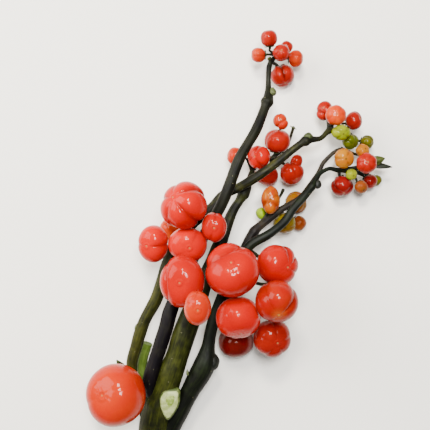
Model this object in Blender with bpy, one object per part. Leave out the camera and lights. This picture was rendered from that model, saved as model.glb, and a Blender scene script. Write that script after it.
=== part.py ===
"""A cut branch of scarlet eggplant, whose ribbed fruits look like small pumpkins.

The branch lies on its back on a table: the view of it that people know looks down on it. X is to
the right, Y runs from the cut end to the tip, and Z is up. One trunk forks into four shoots, and
every fruit is a berry of its own, held by a short stalk with a calyx. Blender 4.5, metres.
Sizes and places below are in millimetres.
"""

import math
from dataclasses import dataclass, field

import bmesh
import bpy
from mathutils import Matrix, Vector

MM = 0.001

# ---- Driving dimensions, in mm ---------------------------------------------------------------
BRANCH_LENGTH = 340.0  # from the cut end of the trunk to the tip fruit, along Y
BRANCH_WIDTH = 236.0  # from the lower fruit to the end of the young leaf, along X
DRAWN_LENGTH = 340.0  # the length and the width that the places below are drawn for
DRAWN_WIDTH = 236.0
FRUIT_SIZE = 1.0  # how far the fruits have swollen, as a share of their drawn size
STEM_SIZE = 1.0  # how thick the woody stems have grown, as a share of their drawn size
STALK_RADIUS = 1.3  # the thin stalk of one fruit
CALYX_SHARE = 0.34  # radius of the calyx as a share of its fruit's radius
CALYX_DEPTH = 1.6  # from the stalk to the calyx's flat rim

# ---- Clearances, in mm -----------------------------------------------------------------------
SEAT_GAP = 0.35  # between a fruit and the calyx that carries it
COLLAR_GAP = 0.35  # between a shoot's foot and the stem that it grows from
FLAT_SPOT_SINK = 0.6  # how much a fruit that lies on the table is flattened there

# ---- Fineness --------------------------------------------------------------------------------
LARGE_FRUIT = 24.0  # a fruit at least this wide gets the finer mesh
LARGE_MESH = (18, 9)  # segments round the axis, rings from end to end
SMALL_MESH = (12, 7)
STEM_SIDES = 2  # Blender's bevel resolution: 8 sides
STALK_SIDES = 1  # 6 sides

# ---- Shape of a fruit ------------------------------------------------------------------------
SQUARENESS = 0.88  # under 1, the side is fuller than an ellipsoid's
CREASE_WIDTH = 0.22  # radians, how far a crease reaches to each side
BLOSSOM_DIMPLE = 0.10  # depth of the hollow at each end, as a share of half the height
STALK_DIMPLE = 0.16

RIPE = (0.84, 0.09, 0.03, 1)
ORANGE = (0.80, 0.26, 0.02, 1)
UNRIPE = (0.36, 0.55, 0.03, 1)
BARK = (0.035, 0.06, 0.015, 1)
DARK_BARK = (0.02, 0.018, 0.02, 1)
YOUNG_BARK = (0.08, 0.2, 0.02, 1)
LEAF_GREEN = (0.05, 0.16, 0.03, 1)


@dataclass
class Fruit:
    """One ribbed berry. Its axis runs from the stalk to the blossom end."""

    name: str
    at: tuple  # centre
    width: float  # across, square to the axis
    height: float  # along the axis
    faces: tuple  # where the blossom end points
    creases: dict = field(default_factory=dict)  # degrees round the axis: depth as a share
    stretch: float = 1.0  # width along the local X over width along the local Y
    turn: float = 0.0  # degrees, the local X round the axis
    knob: tuple = ()  # (degrees round, degrees from the blossom end, rise as a share)
    rests: bool = False  # lies on the table
    colour: tuple = RIPE


def ribs(count, depth, first=0.0):
    """Evenly spread creases, as on a pumpkin."""
    return {first + 360 * k / count: depth for k in range(count)}


# Each cluster is named for where it hangs on the branch.
FRUITS = [
    Fruit("lower_fruit", (-74.7, -135.6, 43), 46, 40, (-0.43, 0.17, 0.88), {200: 0.02}, 0.95),
    # the left cluster
    Fruit("left_fruit_1", (-23, 7.2, 56), 36.5, 30, (-0.55, 0.42, 0.72),
          {20: 0.14, 95: 0.10, 160: 0.12, 235: 0.10, 300: 0.14}),
    Fruit("left_fruit_2", (-46.5, -21.6, 44), 26, 21, (-0.45, -0.15, 0.88), {0: 0.10, 180: 0.08}, 0.84),
    Fruit("left_fruit_3", (-33.5, -10.5, 12), 22, 21, (-0.7, 0.6, 0.05), ribs(4, 0.1), rests=True),
    Fruit("left_fruit_4", (-20.5, -22.2, 49.5), 28, 21.5, (0.15, -0.2, 0.95), {60: 0.04}, 1.12),
    Fruit("left_fruit_5", (-0.7, -9, 54), 21, 18, (0, -0.05, 1), {80: 0.08, 250: 0.06}, 0.82),
    # the centre cluster
    Fruit("centre_fruit_1", (-23.8, -48, 67), 35.5, 30, (-0.1, 0, 1), {150: 0.10, 215: 0.08}, 0.86),
    Fruit("centre_fruit_2", (-12.2, -65, 88), 21.6, 20, (0.03, -0.06, 1), {}, 0.8),
    Fruit("centre_fruit_3", (12.5, -39.7, 66), 40, 33, (-0.07, 0.42, 0.9), {104: 0.16, 60: 0.03},
          knob=(128, 92, 0.2)),
    # the right cluster
    Fruit("right_fruit_1", (47, -37.3, 44), 31.4, 28, (0.5, -0.1, 0.85), {30: 0.12, 75: 0.1, 330: 0.08}),
    Fruit("right_fruit_2", (45.1, -63.1, 62), 32, 28, (0.3, -0.5, 0.8), {20: 0.12, 300: 0.1, 240: 0.06}),
    Fruit("right_fruit_3", (17.2, -76.4, 50), 33.5, 29, (0.1, -0.8, 0.6), {270: 0.04, 230: 0.05}),
    Fruit("right_fruit_4", (43.8, -94, 36), 30, 24, (0.3, -0.2, 0.93), ribs(7, 0.06)),
    Fruit("right_fruit_5", (16.5, -99.9, 14), 28, 24, (0.1, -0.85, -0.15), {300: 0.1}, rests=True),
    # the cluster at the tip
    Fruit("tip_fruit_1", (41.9, 137.1, 24), 13.4, 13, (-0.1, 0.9, 0.3), ribs(5, 0.04)),
    Fruit("tip_fruit_2", (33.7, 124.8, 20), 12, 11, (-0.9, -0.1, 0.3), ribs(4, 0.07)),
    Fruit("tip_fruit_3", (51.3, 125.8, 24), 13.4, 12, (0, 0.2, 0.95), ribs(5, 0.05)),
    Fruit("tip_fruit_4", (56.5, 132.7, 12), 10.2, 10, (0.5, 0.8, 0.1), ribs(4, 0.06)),
    Fruit("tip_fruit_5", (63.5, 122.8, 16), 13, 11.6, (0.85, -0.1, 0.4), ribs(5, 0.06), 0.9),
    Fruit("tip_fruit_6", (54, 110.5, 9), 20, 17, (0.25, -0.75, 0.5), ribs(5, 0.13), rests=True),
    # the upper cluster
    Fruit("upper_fruit_1", (50.9, 72.3, 23), 12.2, 12, (0, 0.1, 1), {270: 0.08}),
    Fruit("upper_fruit_2", (48.8, 58.1, 17), 20.5, 18, (0, 0.9, 0.4), {60: 0.1, 200: 0.08}),
    Fruit("upper_fruit_3", (34, 45, 22), 19.4, 16, (-0.5, 0, 0.86), {0: 0.12, 180: 0.12}, 0.94),
    Fruit("upper_fruit_4", (15.7, 46.2, 18), 14, 12.4, (-0.9, 0.2, 0.3), ribs(4, 0.06)),
    Fruit("upper_fruit_5", (41.9, 31.3, 9), 17.6, 16, (-0.2, -0.8, 0.3), ribs(3, 0.06), rests=True),
    Fruit("upper_fruit_6", (60.6, 33.9, 14), 19.6, 16, (0.4, -0.6, 0.65), {100: 0.06}, knob=(60, 112, 0.55)),
    # the orange cluster
    Fruit("orange_fruit_1", (42.6, 11.5, 30), 18, 14, (-0.1, 0.1, 0.98), {10: 0.06, 170: 0.06}, 0.68,
          colour=ORANGE),
    Fruit("orange_fruit_2", (36.5, 1.3, 16), 9.6, 9, (-0.8, -0.3, 0.3), colour=UNRIPE),
    Fruit("orange_fruit_3", (64.6, 10, 10), 18.2, 16, (0.7, 0.3, 0.5), ribs(5, 0.07), rests=True,
          colour=ORANGE),
    Fruit("orange_fruit_4", (54.7, -6.3, 17), 17.4, 15, (0, -0.5, 0.8), ribs(5, 0.07), 1.08, colour=ORANGE),
    Fruit("orange_fruit_5", (66.9, -6.6, 8), 12.4, 12, (0.7, -0.6, 0.1), ribs(4, 0.05), rests=True,
          colour=ORANGE),
    # the far cluster, on the left shoot
    Fruit("far_fruit_1", (86, 81.8, 16), 14.6, 13, (-0.5, 0.7, 0.2), ribs(4, 0.1), 0.9),
    Fruit("far_fruit_2", (92.9, 76.8, 30), 16.6, 13.4, (0, 0, 1), ribs(7, 0.05)),
    Fruit("far_fruit_3", (108.5, 73.8, 20), 14, 12.4, (0.7, 0.2, 0.6), ribs(3, 0.06), 0.84),
    Fruit("far_fruit_4", (97.1, 63.6, 28), 13.6, 11, (0.2, -0.3, 0.93), ribs(4, 0.1, 45), 1.25, colour=UNRIPE),
    Fruit("far_fruit_5", (106.3, 57.3, 18), 13.4, 10.6, (0.5, -0.5, 0.7), ribs(5, 0.1), 1.1, colour=UNRIPE),
    Fruit("far_fruit_6", (119.7, 57.5, 14), 11.2, 10.4, (0.8, -0.2, 0.5), ribs(4, 0.12, 20), colour=UNRIPE),
    # the end cluster, on the right shoots
    Fruit("end_fruit_1", (115.1, 50.2, 20), 11, 10, (0.3, 0.3, 0.9), ribs(5, 0.06), colour=ORANGE),
    Fruit("end_fruit_2", (99.4, 43.7, 26), 16, 13, (0.1, -0.1, 0.98), {60: 0.11, 180: 0.11, 300: 0.11},
          colour=ORANGE),
    Fruit("end_fruit_3", (116.2, 39.9, 31), 16.6, 13, (0, 0.1, 1), ribs(6, 0.06)),
    Fruit("end_fruit_4", (100, 22.7, 14), 17.2, 15, (0.1, -0.7, 0.6), ribs(3, 0.13, 30), 1.12),
    Fruit("end_fruit_5", (106.1, 31.6, 22), 9, 8.4, (0.3, -0.3, 0.9), ribs(4, 0.04), colour=UNRIPE),
    Fruit("end_fruit_6", (114.5, 22, 18), 10.4, 9.6, (0.3, -0.6, 0.7), colour=ORANGE),
    Fruit("end_fruit_7", (122.5, 26.5, 12), 11.4, 10.4, (0.5, -0.5, 0.5), ribs(4, 0.06)),
    Fruit("end_fruit_8", (129.3, 27.8, 4), 8.6, 8, (0.8, -0.6, 0), colour=UNRIPE, rests=True),
]


@dataclass
class Stalk:
    """The stalk of one fruit: where it leaves its shoot, and the bends on its way."""

    fruit: str
    start: tuple
    bends: tuple = ()
    reach: float = 4.0  # how far ahead of the calyx it turns onto the fruit's axis


@dataclass
class Stem:
    """A woody shoot: (x, y, z, radius) along its middle, its knuckles, twigs and fruit stalks."""

    name: str
    line: list
    knuckles: list = field(default_factory=list)  # (x, y, z, radius) where leaves stood
    twigs: list = field(default_factory=list)  # thin side growth, as lines
    stalks: list = field(default_factory=list)
    colour: tuple = BARK


STEMS = [
    Stem(
        "main_stem",
        [(-48, -195, 11.2, 11.5), (-47, -172, 13.5, 13), (-44, -150, 19.5, 12.6), (-36, -127, 27, 9.6),
         (-29, -108, 30, 9), (-22.5, -88, 32, 8.8), (-14.5, -68, 33, 7.8), (-7, -48, 33, 6.4),
         (2, -27, 30, 5.4), (13, 1, 24, 3.8), (19, 11, 22.5, 3.5), (24, 20, 21, 3.9),
         (27, 29, 15, 2.2), (31, 37, 8.5, 1.9), (38, 43, 7, 1.8), (46.5, 45, 12, 2.2)],
        knuckles=[(25, 20, 20, 4.6), (46.5, 45.5, 11.5, 2.8)],
        twigs=[[(46, 45, 12, 1.2), (57, 55, 7, 1.1), (61, 66, 12, 1.2), (62, 70, 14, 2.4)]],
        stalks=[
            Stalk("centre_fruit_2", (-15, -68, 34), ((-13, -67, 52),)),
            Stalk("upper_fruit_1", (46.5, 46, 11), ((51.5, 56, 3.6), (52, 68, 6)), 3),
            Stalk("upper_fruit_2", (46.5, 45, 12), (), 2),
            Stalk("upper_fruit_3", (45, 45, 11), (), 2),
            Stalk("upper_fruit_4", (29.5, 35, 11), (), 3),
            Stalk("upper_fruit_5", (46, 44.5, 11), (), 2),
            Stalk("upper_fruit_6", (47.5, 45, 11), (), 3),
        ],
    ),
    Stem(
        "left_shoot",
        [(-50, -168, 13, 4.6), (-60, -142, 15, 4.3), (-65, -119, 19, 4.3), (-61, -101, 21, 4.6),
         (-55, -83, 23, 4.8), (-46, -66, 25, 4.9), (-40, -49, 26, 4.8), (-36, -36, 27.5, 4.8),
         (-28, -19, 28, 4.8), (-17, -6, 28.5, 4.4), (-3, 5, 29.5, 4), (6, 15, 30, 3.7),
         (18, 21, 30.5, 3.6), (30, 28, 32, 3.6), (45, 38.2, 32.4, 3.3), (58, 48.8, 32, 3),
         (70, 57, 30.5, 2.8), (81, 59, 29, 2), (88, 65, 26, 1.9), (97, 67, 16, 1.6), (106, 66, 9, 1.5)],
        knuckles=[(71.5, 59, 30.5, 3.7)],
        twigs=[[(86, 63, 27, 1), (87.5, 68.5, 28, 1.1)]],
        stalks=[
            Stalk("lower_fruit", (-62, -137, 17), (), 3),
            Stalk("left_fruit_1", (-19, -8, 29), (), 5),
            Stalk("left_fruit_2", (-34, -30, 28), (), 3),
            Stalk("left_fruit_3", (-29, -21, 26), (), 3),
            Stalk("left_fruit_4", (-25, -15, 29), (), 2),
            Stalk("far_fruit_1", (88.5, 65.5, 25), (), 3),
            Stalk("far_fruit_2", (90, 66, 23.5), (), 4),
            Stalk("far_fruit_3", (101, 67, 13), (), 4),
            Stalk("far_fruit_4", (91, 66, 22.5), (), 3),
            Stalk("far_fruit_5", (104, 66.3, 10.5), (), 2),
            Stalk("far_fruit_6", (105.5, 66, 9.4), (), 4),
        ],
    ),
    Stem(
        "middle_shoot",
        [(-44, -147, 21, 5), (-49.5, -134, 26.5, 5.4), (-48.8, -122, 30.5, 5.6), (-38, -88, 34, 5.5),
         (-34, -73, 34.5, 5.4), (-26, -54, 34, 5), (-17, -33, 33.5, 4.6), (-7, -13, 35.5, 4.4),
         (4, 6, 39.2, 4.4), (10, 20, 40.4, 4.2), (17, 39, 40, 4.3), (22, 49, 38, 4.1), (31.2, 64.8, 33, 3.9),
         (38, 81.6, 28, 3.7), (41.2, 91, 26, 3.9), (41.4, 100, 23.5, 2.3), (41.6, 109, 22, 2), (43, 118, 19, 2.1),
         (49, 127, 13, 1.5)],
        knuckles=[(42, 94, 25, 4), (43.4, 117, 20, 2.9)],
        twigs=[[(42.7, 116, 20, 1.6), (42.2, 121.5, 21.5, 0.9)]],
        stalks=[
            Stalk("left_fruit_5", (-4, -7, 40), (), 2),
            Stalk("centre_fruit_1", (-24, -50, 37), (), 4),
            Stalk("tip_fruit_1", (49, 127, 13), (), 3),
            Stalk("tip_fruit_2", (48.5, 126.5, 13), (), 3),
            Stalk("tip_fruit_3", (48.5, 126.5, 13.5), (), 1.5),
            Stalk("tip_fruit_4", (49, 127, 12.5), (), 2),
            Stalk("tip_fruit_5", (49, 127, 12.5), (), 3),
            Stalk("tip_fruit_6", (44.5, 120, 17), (), 3),
        ],
        colour=DARK_BARK,
    ),
    Stem(
        "right_shoot",
        [(-40, -176, 15, 7.4), (-27, -151, 22, 7.4), (-18, -134, 26, 7.5), (-8.5, -116, 29, 8.4),
         (-5.5, -102, 30, 5.4), (-3, -88, 31, 4.8), (2, -72, 32.5, 4.6), (10, -53, 34, 4.5),
         (18, -36, 35, 4.3), (27, -23, 36, 3.7), (42, -14, 35.5, 3.3), (53, -5, 34.5, 3.2),
         (60, 5, 33.5, 3.1), (69, 15, 31.5, 3), (76, 24, 28, 2.6), (80, 31, 25.5, 2), (84, 34, 24, 1.7),
         (89, 36, 22.5, 1.6), (96, 35, 20, 1.9), (104, 35.5, 13.5, 1.5), (112, 34, 9, 1.4)],
        knuckles=[(-1, -112, 29.3, 5), (77, 23, 27.5, 3), (80, 23, 27, 2.7)],
        twigs=[[(106, 36, 12.5, 1), (115, 36.5, 13.5, 1), (121, 40, 18, 1.1)]],
        stalks=[
            Stalk("centre_fruit_3", (13, -46, 36), (), 4),
            Stalk("right_fruit_1", (25, -26, 35), (), 3),
            Stalk("right_fruit_2", (16, -41, 35), ((30, -51, 40),), 3),
            Stalk("right_fruit_3", (6, -62, 34), (), 2),
            Stalk("right_fruit_4", (5, -64, 32), ((20, -76, 27),), 3),
            Stalk("right_fruit_5", (-1, -82, 31), (), 3),
            Stalk("end_fruit_3", (100, 35.2, 17), (), 3),
            Stalk("end_fruit_4", (97, 35, 19), (), 3),
            Stalk("end_fruit_5", (98.5, 35, 18.5), (), 2),
            Stalk("end_fruit_6", (108, 35, 11), (), 3),
            Stalk("end_fruit_7", (110, 34.5, 10), (), 3),
            Stalk("end_fruit_8", (111.5, 34, 9), (), 3),
        ],
    ),
    Stem(
        "right_side_shoot",
        [(20, -33, 33, 3.2), (26, -19, 26.5, 3.3), (33, -10, 24.5, 3.3), (41, -4, 23.5, 2.9),
         (51, 4, 23, 2.6), (58, 8, 22.8, 2.4), (67, 14, 21.5, 2.2), (74, 23, 18.5, 1.9), (81, 33, 18, 1.8),
         (85, 41, 18, 1.7), (93, 49, 18, 1.5), (99, 52, 17, 1.5)],
        knuckles=[(28, -14, 25.5, 3.6), (46, 8, 20, 2.4)],
        twigs=[[(34, -9, 24, 1.7), (41, 0.5, 22.5, 1.6), (46, 8, 20, 1.5)],
               [(46, 8, 20, 0.9), (51, 15, 19, 0.9), (53.5, 20.5, 22, 1.3)]],
        stalks=[
            Stalk("orange_fruit_1", (45, 6.5, 20.5), (), 1.5),
            Stalk("orange_fruit_2", (41.5, 1.2, 22), (), 1.5),
            Stalk("orange_fruit_3", (46, 8, 20), ((50, 6, 12),), 3),
            Stalk("orange_fruit_4", (46, 7.6, 19.6), (), 3),
            Stalk("orange_fruit_5", (46.2, 7.5, 19.5), ((52, 2.5, 9),), 4),
            Stalk("end_fruit_1", (98.6, 51.8, 17), (), 3),
            Stalk("end_fruit_2", (97, 51, 17.3), (), 1.5),
        ],
        colour=DARK_BARK,
    ),
    Stem(
        "pruned_side_shoot",
        [(-44, -152, 16, 3.8), (-52.5, -136, 11, 3.9), (-57.5, -122, 10.5, 4), (-56.5, -112, 11.5, 4),
         (-53, -101, 13.5, 3.8)],
        colour=YOUNG_BARK,
    ),
]
# Each shoot's foot is cut to sit on the stem that it grows from.
GROWS_FROM = {
    "left_shoot": "main_stem",
    "middle_shoot": "main_stem",
    "right_shoot": "main_stem",
    "right_side_shoot": "right_shoot",
    "pruned_side_shoot": "main_stem",
}


def placed(x, y, z):
    """A drawn place, moved with the branch's length and width."""
    return Vector((x * BRANCH_WIDTH / DRAWN_WIDTH, y * BRANCH_LENGTH / DRAWN_LENGTH, z))


def material(name, colour, roughness):
    """A plain finish."""
    made = bpy.data.materials.new(name)
    made.use_nodes = True
    shader = made.node_tree.nodes["Principled BSDF"]
    shader.inputs["Base Color"].default_value = colour
    shader.inputs["Roughness"].default_value = roughness
    made.diffuse_color = colour
    return made


def link(name, mesh, finish):
    """Puts a mesh into the scene under its node's name."""
    obj = bpy.data.objects.new(name, mesh)
    obj.data.materials.append(finish)
    bpy.context.scene.collection.objects.link(obj)
    return obj


# ---- Fruits ----------------------------------------------------------------------------------
def axis_frame(fruit):
    """Rotation that takes +Z to the blossom end, then turns the local X by fruit.turn."""
    axis = Vector(fruit.faces).normalized()
    side = Vector((1, 0, 0)) - axis * axis.x
    if side.length < 0.2:
        side = Vector((0, 1, 0)) - axis * axis.y
    side.normalize()
    frame = Matrix((side, axis.cross(side), axis)).transposed()
    return frame @ Matrix.Rotation(math.radians(fruit.turn), 3, "Z")


def crease_depth(fruit, azimuth):
    """How far the creases pull the skin in at this azimuth, as a share of the radius."""
    depth = 0.0
    for degrees, share in fruit.creases.items():
        away = abs((azimuth - math.radians(degrees) + math.pi) % math.tau - math.pi)
        depth += share * math.exp(-((away / CREASE_WIDTH) ** 1.3))
    return depth


def skin_point(fruit, polar, azimuth):
    """The fruit's skin, from 0 at the blossom end to pi at the stalk, in its own axes."""
    across, along = math.sin(polar), math.cos(polar)
    dimple = BLOSSOM_DIMPLE if along > 0 else STALK_DIMPLE
    hollow = 1 - dimple * math.exp(-((across / 0.34) ** 2))
    fade = min(1.0, max(0.0, (across - 0.1) / 0.5))
    swell = 1 - crease_depth(fruit, azimuth) * fade
    if fruit.knob:
        swell += knob_rise(fruit, polar, azimuth)
    ring = fruit.width / 2 * abs(across) ** SQUARENESS * swell
    lift = fruit.height / 2 * math.copysign(abs(along) ** SQUARENESS, along) * hollow * swell
    wide = math.sqrt(fruit.stretch)
    return Vector((ring * math.cos(azimuth) * wide, ring * math.sin(azimuth) / wide, lift)) * FRUIT_SIZE


def knob_rise(fruit, polar, azimuth):
    """A small second lobe that grows out of the side."""
    round_axis, from_end, rise = fruit.knob
    a, p = math.radians(round_axis), math.radians(from_end)
    cosine = math.cos(p) * math.cos(polar) + math.sin(p) * math.sin(polar) * math.cos(azimuth - a)
    away = math.acos(max(-1.0, min(1.0, cosine)))
    return rise * math.exp(-((away / 0.42) ** 2))


def fruit_object(fruit, finish):
    """The fruit as one closed solid, flattened where it lies on the table."""
    segments, rings = LARGE_MESH if fruit.width >= LARGE_FRUIT else SMALL_MESH
    shape = bmesh.new()
    ends = [shape.verts.new(skin_point(fruit, polar, 0.0)) for polar in (0.0, math.pi)]
    loops = [
        [shape.verts.new(skin_point(fruit, math.pi * r / rings, math.tau * s / segments)) for s in range(segments)]
        for r in range(1, rings)
    ]
    for s in range(segments):
        after = (s + 1) % segments
        shape.faces.new((ends[0], loops[0][s], loops[0][after]))
        shape.faces.new((ends[1], loops[-1][after], loops[-1][s]))
        for upper, lower in zip(loops, loops[1:]):
            shape.faces.new((upper[s], lower[s], lower[after], upper[after]))
    frame = axis_frame(fruit)
    place = placed(*fruit.at)
    if fruit.rests:
        place.z = flatten(shape, frame)
    bmesh.ops.scale(shape, vec=(MM, MM, MM), verts=shape.verts)
    mesh = bpy.data.meshes.new(fruit.name)
    shape.to_mesh(mesh)
    shape.free()
    mesh.shade_smooth()
    obj = link(fruit.name, mesh, finish)
    obj.location = place * MM
    obj.rotation_mode = "QUATERNION"
    obj.rotation_quaternion = frame.to_quaternion()
    return obj


def flatten(shape, frame):
    """Cuts a flat spot under the fruit, and returns the height at which it then lies on the table."""
    down = frame.transposed() @ Vector((0, 0, -1))
    lowest = max(v.co.dot(down) for v in shape.verts)
    table = lowest - FLAT_SPOT_SINK * FRUIT_SIZE
    everything = shape.verts[:] + shape.edges[:] + shape.faces[:]
    bmesh.ops.bisect_plane(
        shape, geom=everything, dist=1e-4, plane_co=down * table, plane_no=down, clear_outer=True
    )
    rim = [e for e in shape.edges if e.is_boundary]
    bmesh.ops.contextual_create(shape, geom=rim)
    bmesh.ops.recalc_face_normals(shape, faces=shape.faces[:])
    return table


# ---- Stems -----------------------------------------------------------------------------------
def tube(name, points, radii, sides, steps):
    """A closed tube along a smooth curve, with a radius at each of its points."""
    curve = bpy.data.curves.new(name, "CURVE")
    curve.dimensions = "3D"
    curve.bevel_depth = MM
    curve.bevel_resolution = sides
    curve.use_fill_caps = True
    curve.resolution_u = steps
    curve.twist_mode = "MINIMUM"
    spline = curve.splines.new("BEZIER")
    spline.bezier_points.add(len(points) - 1)
    for knot, point, radius in zip(spline.bezier_points, points, radii):
        knot.co = Vector(point) * MM
        knot.radius = radius
        knot.handle_left_type = knot.handle_right_type = "AUTO"
    source = bpy.data.objects.new(name, curve)
    bpy.context.scene.collection.objects.link(source)
    bpy.context.view_layer.update()
    graph = bpy.context.evaluated_depsgraph_get()
    mesh = bpy.data.meshes.new_from_object(source.evaluated_get(graph))
    bpy.data.objects.remove(source)
    weld(mesh)
    return mesh


def weld(mesh):
    """Joins a curve's caps to its sides, and turns every face outwards."""
    shape = bmesh.new()
    shape.from_mesh(mesh)
    bmesh.ops.remove_doubles(shape, verts=shape.verts[:], dist=1e-6)
    bmesh.ops.recalc_face_normals(shape, faces=shape.faces[:])
    shape.to_mesh(mesh)
    shape.free()


def knuckle_mesh(name, radius):
    """A small ball, for the swelling where a leaf stood."""
    shape = bmesh.new()
    bmesh.ops.create_icosphere(shape, subdivisions=1, radius=radius * MM)
    mesh = bpy.data.meshes.new(name)
    shape.to_mesh(mesh)
    shape.free()
    return mesh


def helper(name, mesh, place=(0, 0, 0)):
    """An object that only a Boolean reads."""
    obj = bpy.data.objects.new(name, mesh)
    obj.location = Vector(place) * MM
    obj.hide_render = True
    obj.display_type = "WIRE"
    bpy.context.scene.collection.objects.link(obj)
    return obj


def combine(obj, other, operation):
    """Adds or subtracts a helper."""
    step = obj.modifiers.new(other.name, "BOOLEAN")
    step.object = other
    step.operation = operation
    # The exact solver leaves loose slivers where several thin stalks meet at one node.
    step.solver = "MANIFOLD"


def seat_of(fruit, obj):
    """Where the calyx's rim is, just off the fruit's stalk end, and the fruit's axis."""
    axis = obj.rotation_quaternion @ Vector((0, 0, 1))
    near_axis = fruit.width / 2 * FRUIT_SIZE * MM * 0.6
    lowest = min(v.co.z for v in obj.data.vertices if v.co.xy.length < near_axis) / MM
    return obj.location / MM + axis * (lowest - SEAT_GAP), axis


def stalk_mesh(stalk, fruit, obj):
    """A stalk that ends in a flared calyx, square to the fruit's axis."""
    seat, axis = seat_of(fruit, obj)
    start = placed(*stalk.start)
    bends = [placed(*bend) for bend in stalk.bends]
    neck = seat - axis * CALYX_DEPTH
    turn = neck - axis * stalk.reach
    calyx = fruit.width / 2 * FRUIT_SIZE * CALYX_SHARE
    radius = min(STALK_RADIUS, calyx * 0.75)
    points = [start, *bends, turn, neck, seat]
    radii = [radius * 1.15, *(radius for _ in bends), radius, radius, max(calyx, radius)]
    return tube(f"stalk_of_{fruit.name}", points, radii, STALK_SIDES, 1)


def stem_line(line, swell=0.0):
    """Places and radii of a drawn line."""
    return [placed(x, y, z) for x, y, z, _ in line], [r * STEM_SIZE + swell for *_, r in line]


def stem_object(stem, fruits, finishes):
    """One shoot with its knuckles, twigs and stalks joined on, and its foot cut to its parent."""
    obj = link(stem.name, tube(stem.name, *stem_line(stem.line), STEM_SIDES, 2), finishes[stem.colour])
    parent = GROWS_FROM.get(stem.name)
    for number, twig in enumerate(stem.twigs):
        name = f"{stem.name}_twig_{number}"
        combine(obj, helper(name, tube(name, *stem_line(twig), STALK_SIDES, 2)), "UNION")
    for number, (x, y, z, radius) in enumerate(stem.knuckles):
        name = f"{stem.name}_knuckle_{number}"
        combine(obj, helper(name, knuckle_mesh(name, radius * STEM_SIZE), placed(x, y, z)), "UNION")
    for stalk in stem.stalks:
        fruit, fruit_obj = fruits[stalk.fruit]
        mesh = stalk_mesh(stalk, fruit, fruit_obj)
        combine(obj, helper(mesh.name, mesh), "UNION")
    if parent:
        line = next(s.line for s in STEMS if s.name == parent)
        name = f"{stem.name}_collar"
        cutter = tube(name, *stem_line(line, COLLAR_GAP), STEM_SIDES, 2)
        combine(obj, helper(name, cutter), "DIFFERENCE")
    return obj


def table_cut(obj):
    """Flattens a stem's underside where it would reach below the table."""
    size = max(BRANCH_LENGTH, BRANCH_WIDTH) * 2 * MM
    shape = bmesh.new()
    bmesh.ops.create_cube(shape, size=size)
    bmesh.ops.translate(shape, vec=(0, 0, -size / 2), verts=shape.verts)
    mesh = bpy.data.meshes.new(f"table_under_{obj.name}")
    shape.to_mesh(mesh)
    shape.free()
    combine(obj, helper(mesh.name, mesh), "DIFFERENCE")


def leaf_object(name, base, tip, width, thickness, finish):
    """A small folded leaf: a pointed lens between two points."""
    start, end = placed(*base), placed(*tip)
    along = end - start
    across = along.cross(Vector((0, 0, 1))).normalized() * width / 2
    up = across.cross(along).normalized() * thickness / 2
    shares = (0.0, 0.18, 0.45, 0.75, 1.0)
    fullness = (0.35, 0.8, 1.0, 0.6, 0.12)
    shape = bmesh.new()
    loops = []
    for share, full in zip(shares, fullness):
        middle = start + along * share
        corners = (across * full, up, across * -full, up * -1)
        loops.append([shape.verts.new((middle + c) * MM) for c in corners])
    for before, after in zip(loops, loops[1:]):
        for s in range(4):
            shape.faces.new((before[s], before[(s + 1) % 4], after[(s + 1) % 4], after[s]))
    shape.faces.new(loops[0][::-1])
    shape.faces.new(loops[-1])
    bmesh.ops.recalc_face_normals(shape, faces=shape.faces[:])
    mesh = bpy.data.meshes.new(name)
    shape.to_mesh(mesh)
    shape.free()
    return link(name, mesh, finish)


def centre_on_origin(objects):
    """Moves the branch so that the middle of its box is over the origin, on the table at z = 0."""
    bpy.context.view_layer.update()
    graph = bpy.context.evaluated_depsgraph_get()
    corners = [
        obj.matrix_world @ v.co
        for obj in objects
        for v in obj.evaluated_get(graph).data.vertices
    ]
    low = Vector(min(c[i] for c in corners) for i in range(3))
    high = Vector(max(c[i] for c in corners) for i in range(3))
    shift = Vector((-(low.x + high.x) / 2, -(low.y + high.y) / 2, 0))
    for obj in bpy.context.scene.objects:
        obj.location += shift


def main():
    """Builds the whole branch."""
    for obj in list(bpy.data.objects):
        bpy.data.objects.remove(obj)
    finishes = {
        colour: material(name, colour, roughness)
        for name, colour, roughness in (
            ("ripe_skin", RIPE, 0.25),
            ("orange_skin", ORANGE, 0.25),
            ("unripe_skin", UNRIPE, 0.3),
            ("green_bark", BARK, 0.55),
            ("dark_bark", DARK_BARK, 0.5),
            ("young_bark", YOUNG_BARK, 0.5),
            ("leaf", LEAF_GREEN, 0.5),
        )
    }
    fruits = {f.name: (f, fruit_object(f, finishes[f.colour])) for f in FRUITS}
    bpy.context.view_layer.update()
    stems = [stem_object(stem, fruits, finishes) for stem in STEMS]
    table_cut(stems[0])
    leaves = [
        leaf_object("green_bract", (122, 41.5, 19), (132, 44.5, 21), 6, 3.4, finishes[LEAF_GREEN]),
        leaf_object("young_leaf", (122.5, 39, 18), (139, 37.5, 17), 4, 1.6, finishes[LEAF_GREEN]),
    ]
    centre_on_origin([obj for _, obj in fruits.values()] + stems + leaves)


main()
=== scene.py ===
"""A cut branch of scarlet eggplant, the ornamental whose ribbed fruits look like small pumpkins.

The branch lies on a pale table. Every fruit, shoot, stalk, calyx and scar is a piece of its own,
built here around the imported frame. Sizes and drawn places are in millimetres, everything else is
in metres.
"""

from __future__ import annotations

import logging
import math
from dataclasses import dataclass, field
from enum import Enum
from typing import Any

import bmesh
import bpy
import numpy as np
from mathutils import Matrix, Vector


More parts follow.
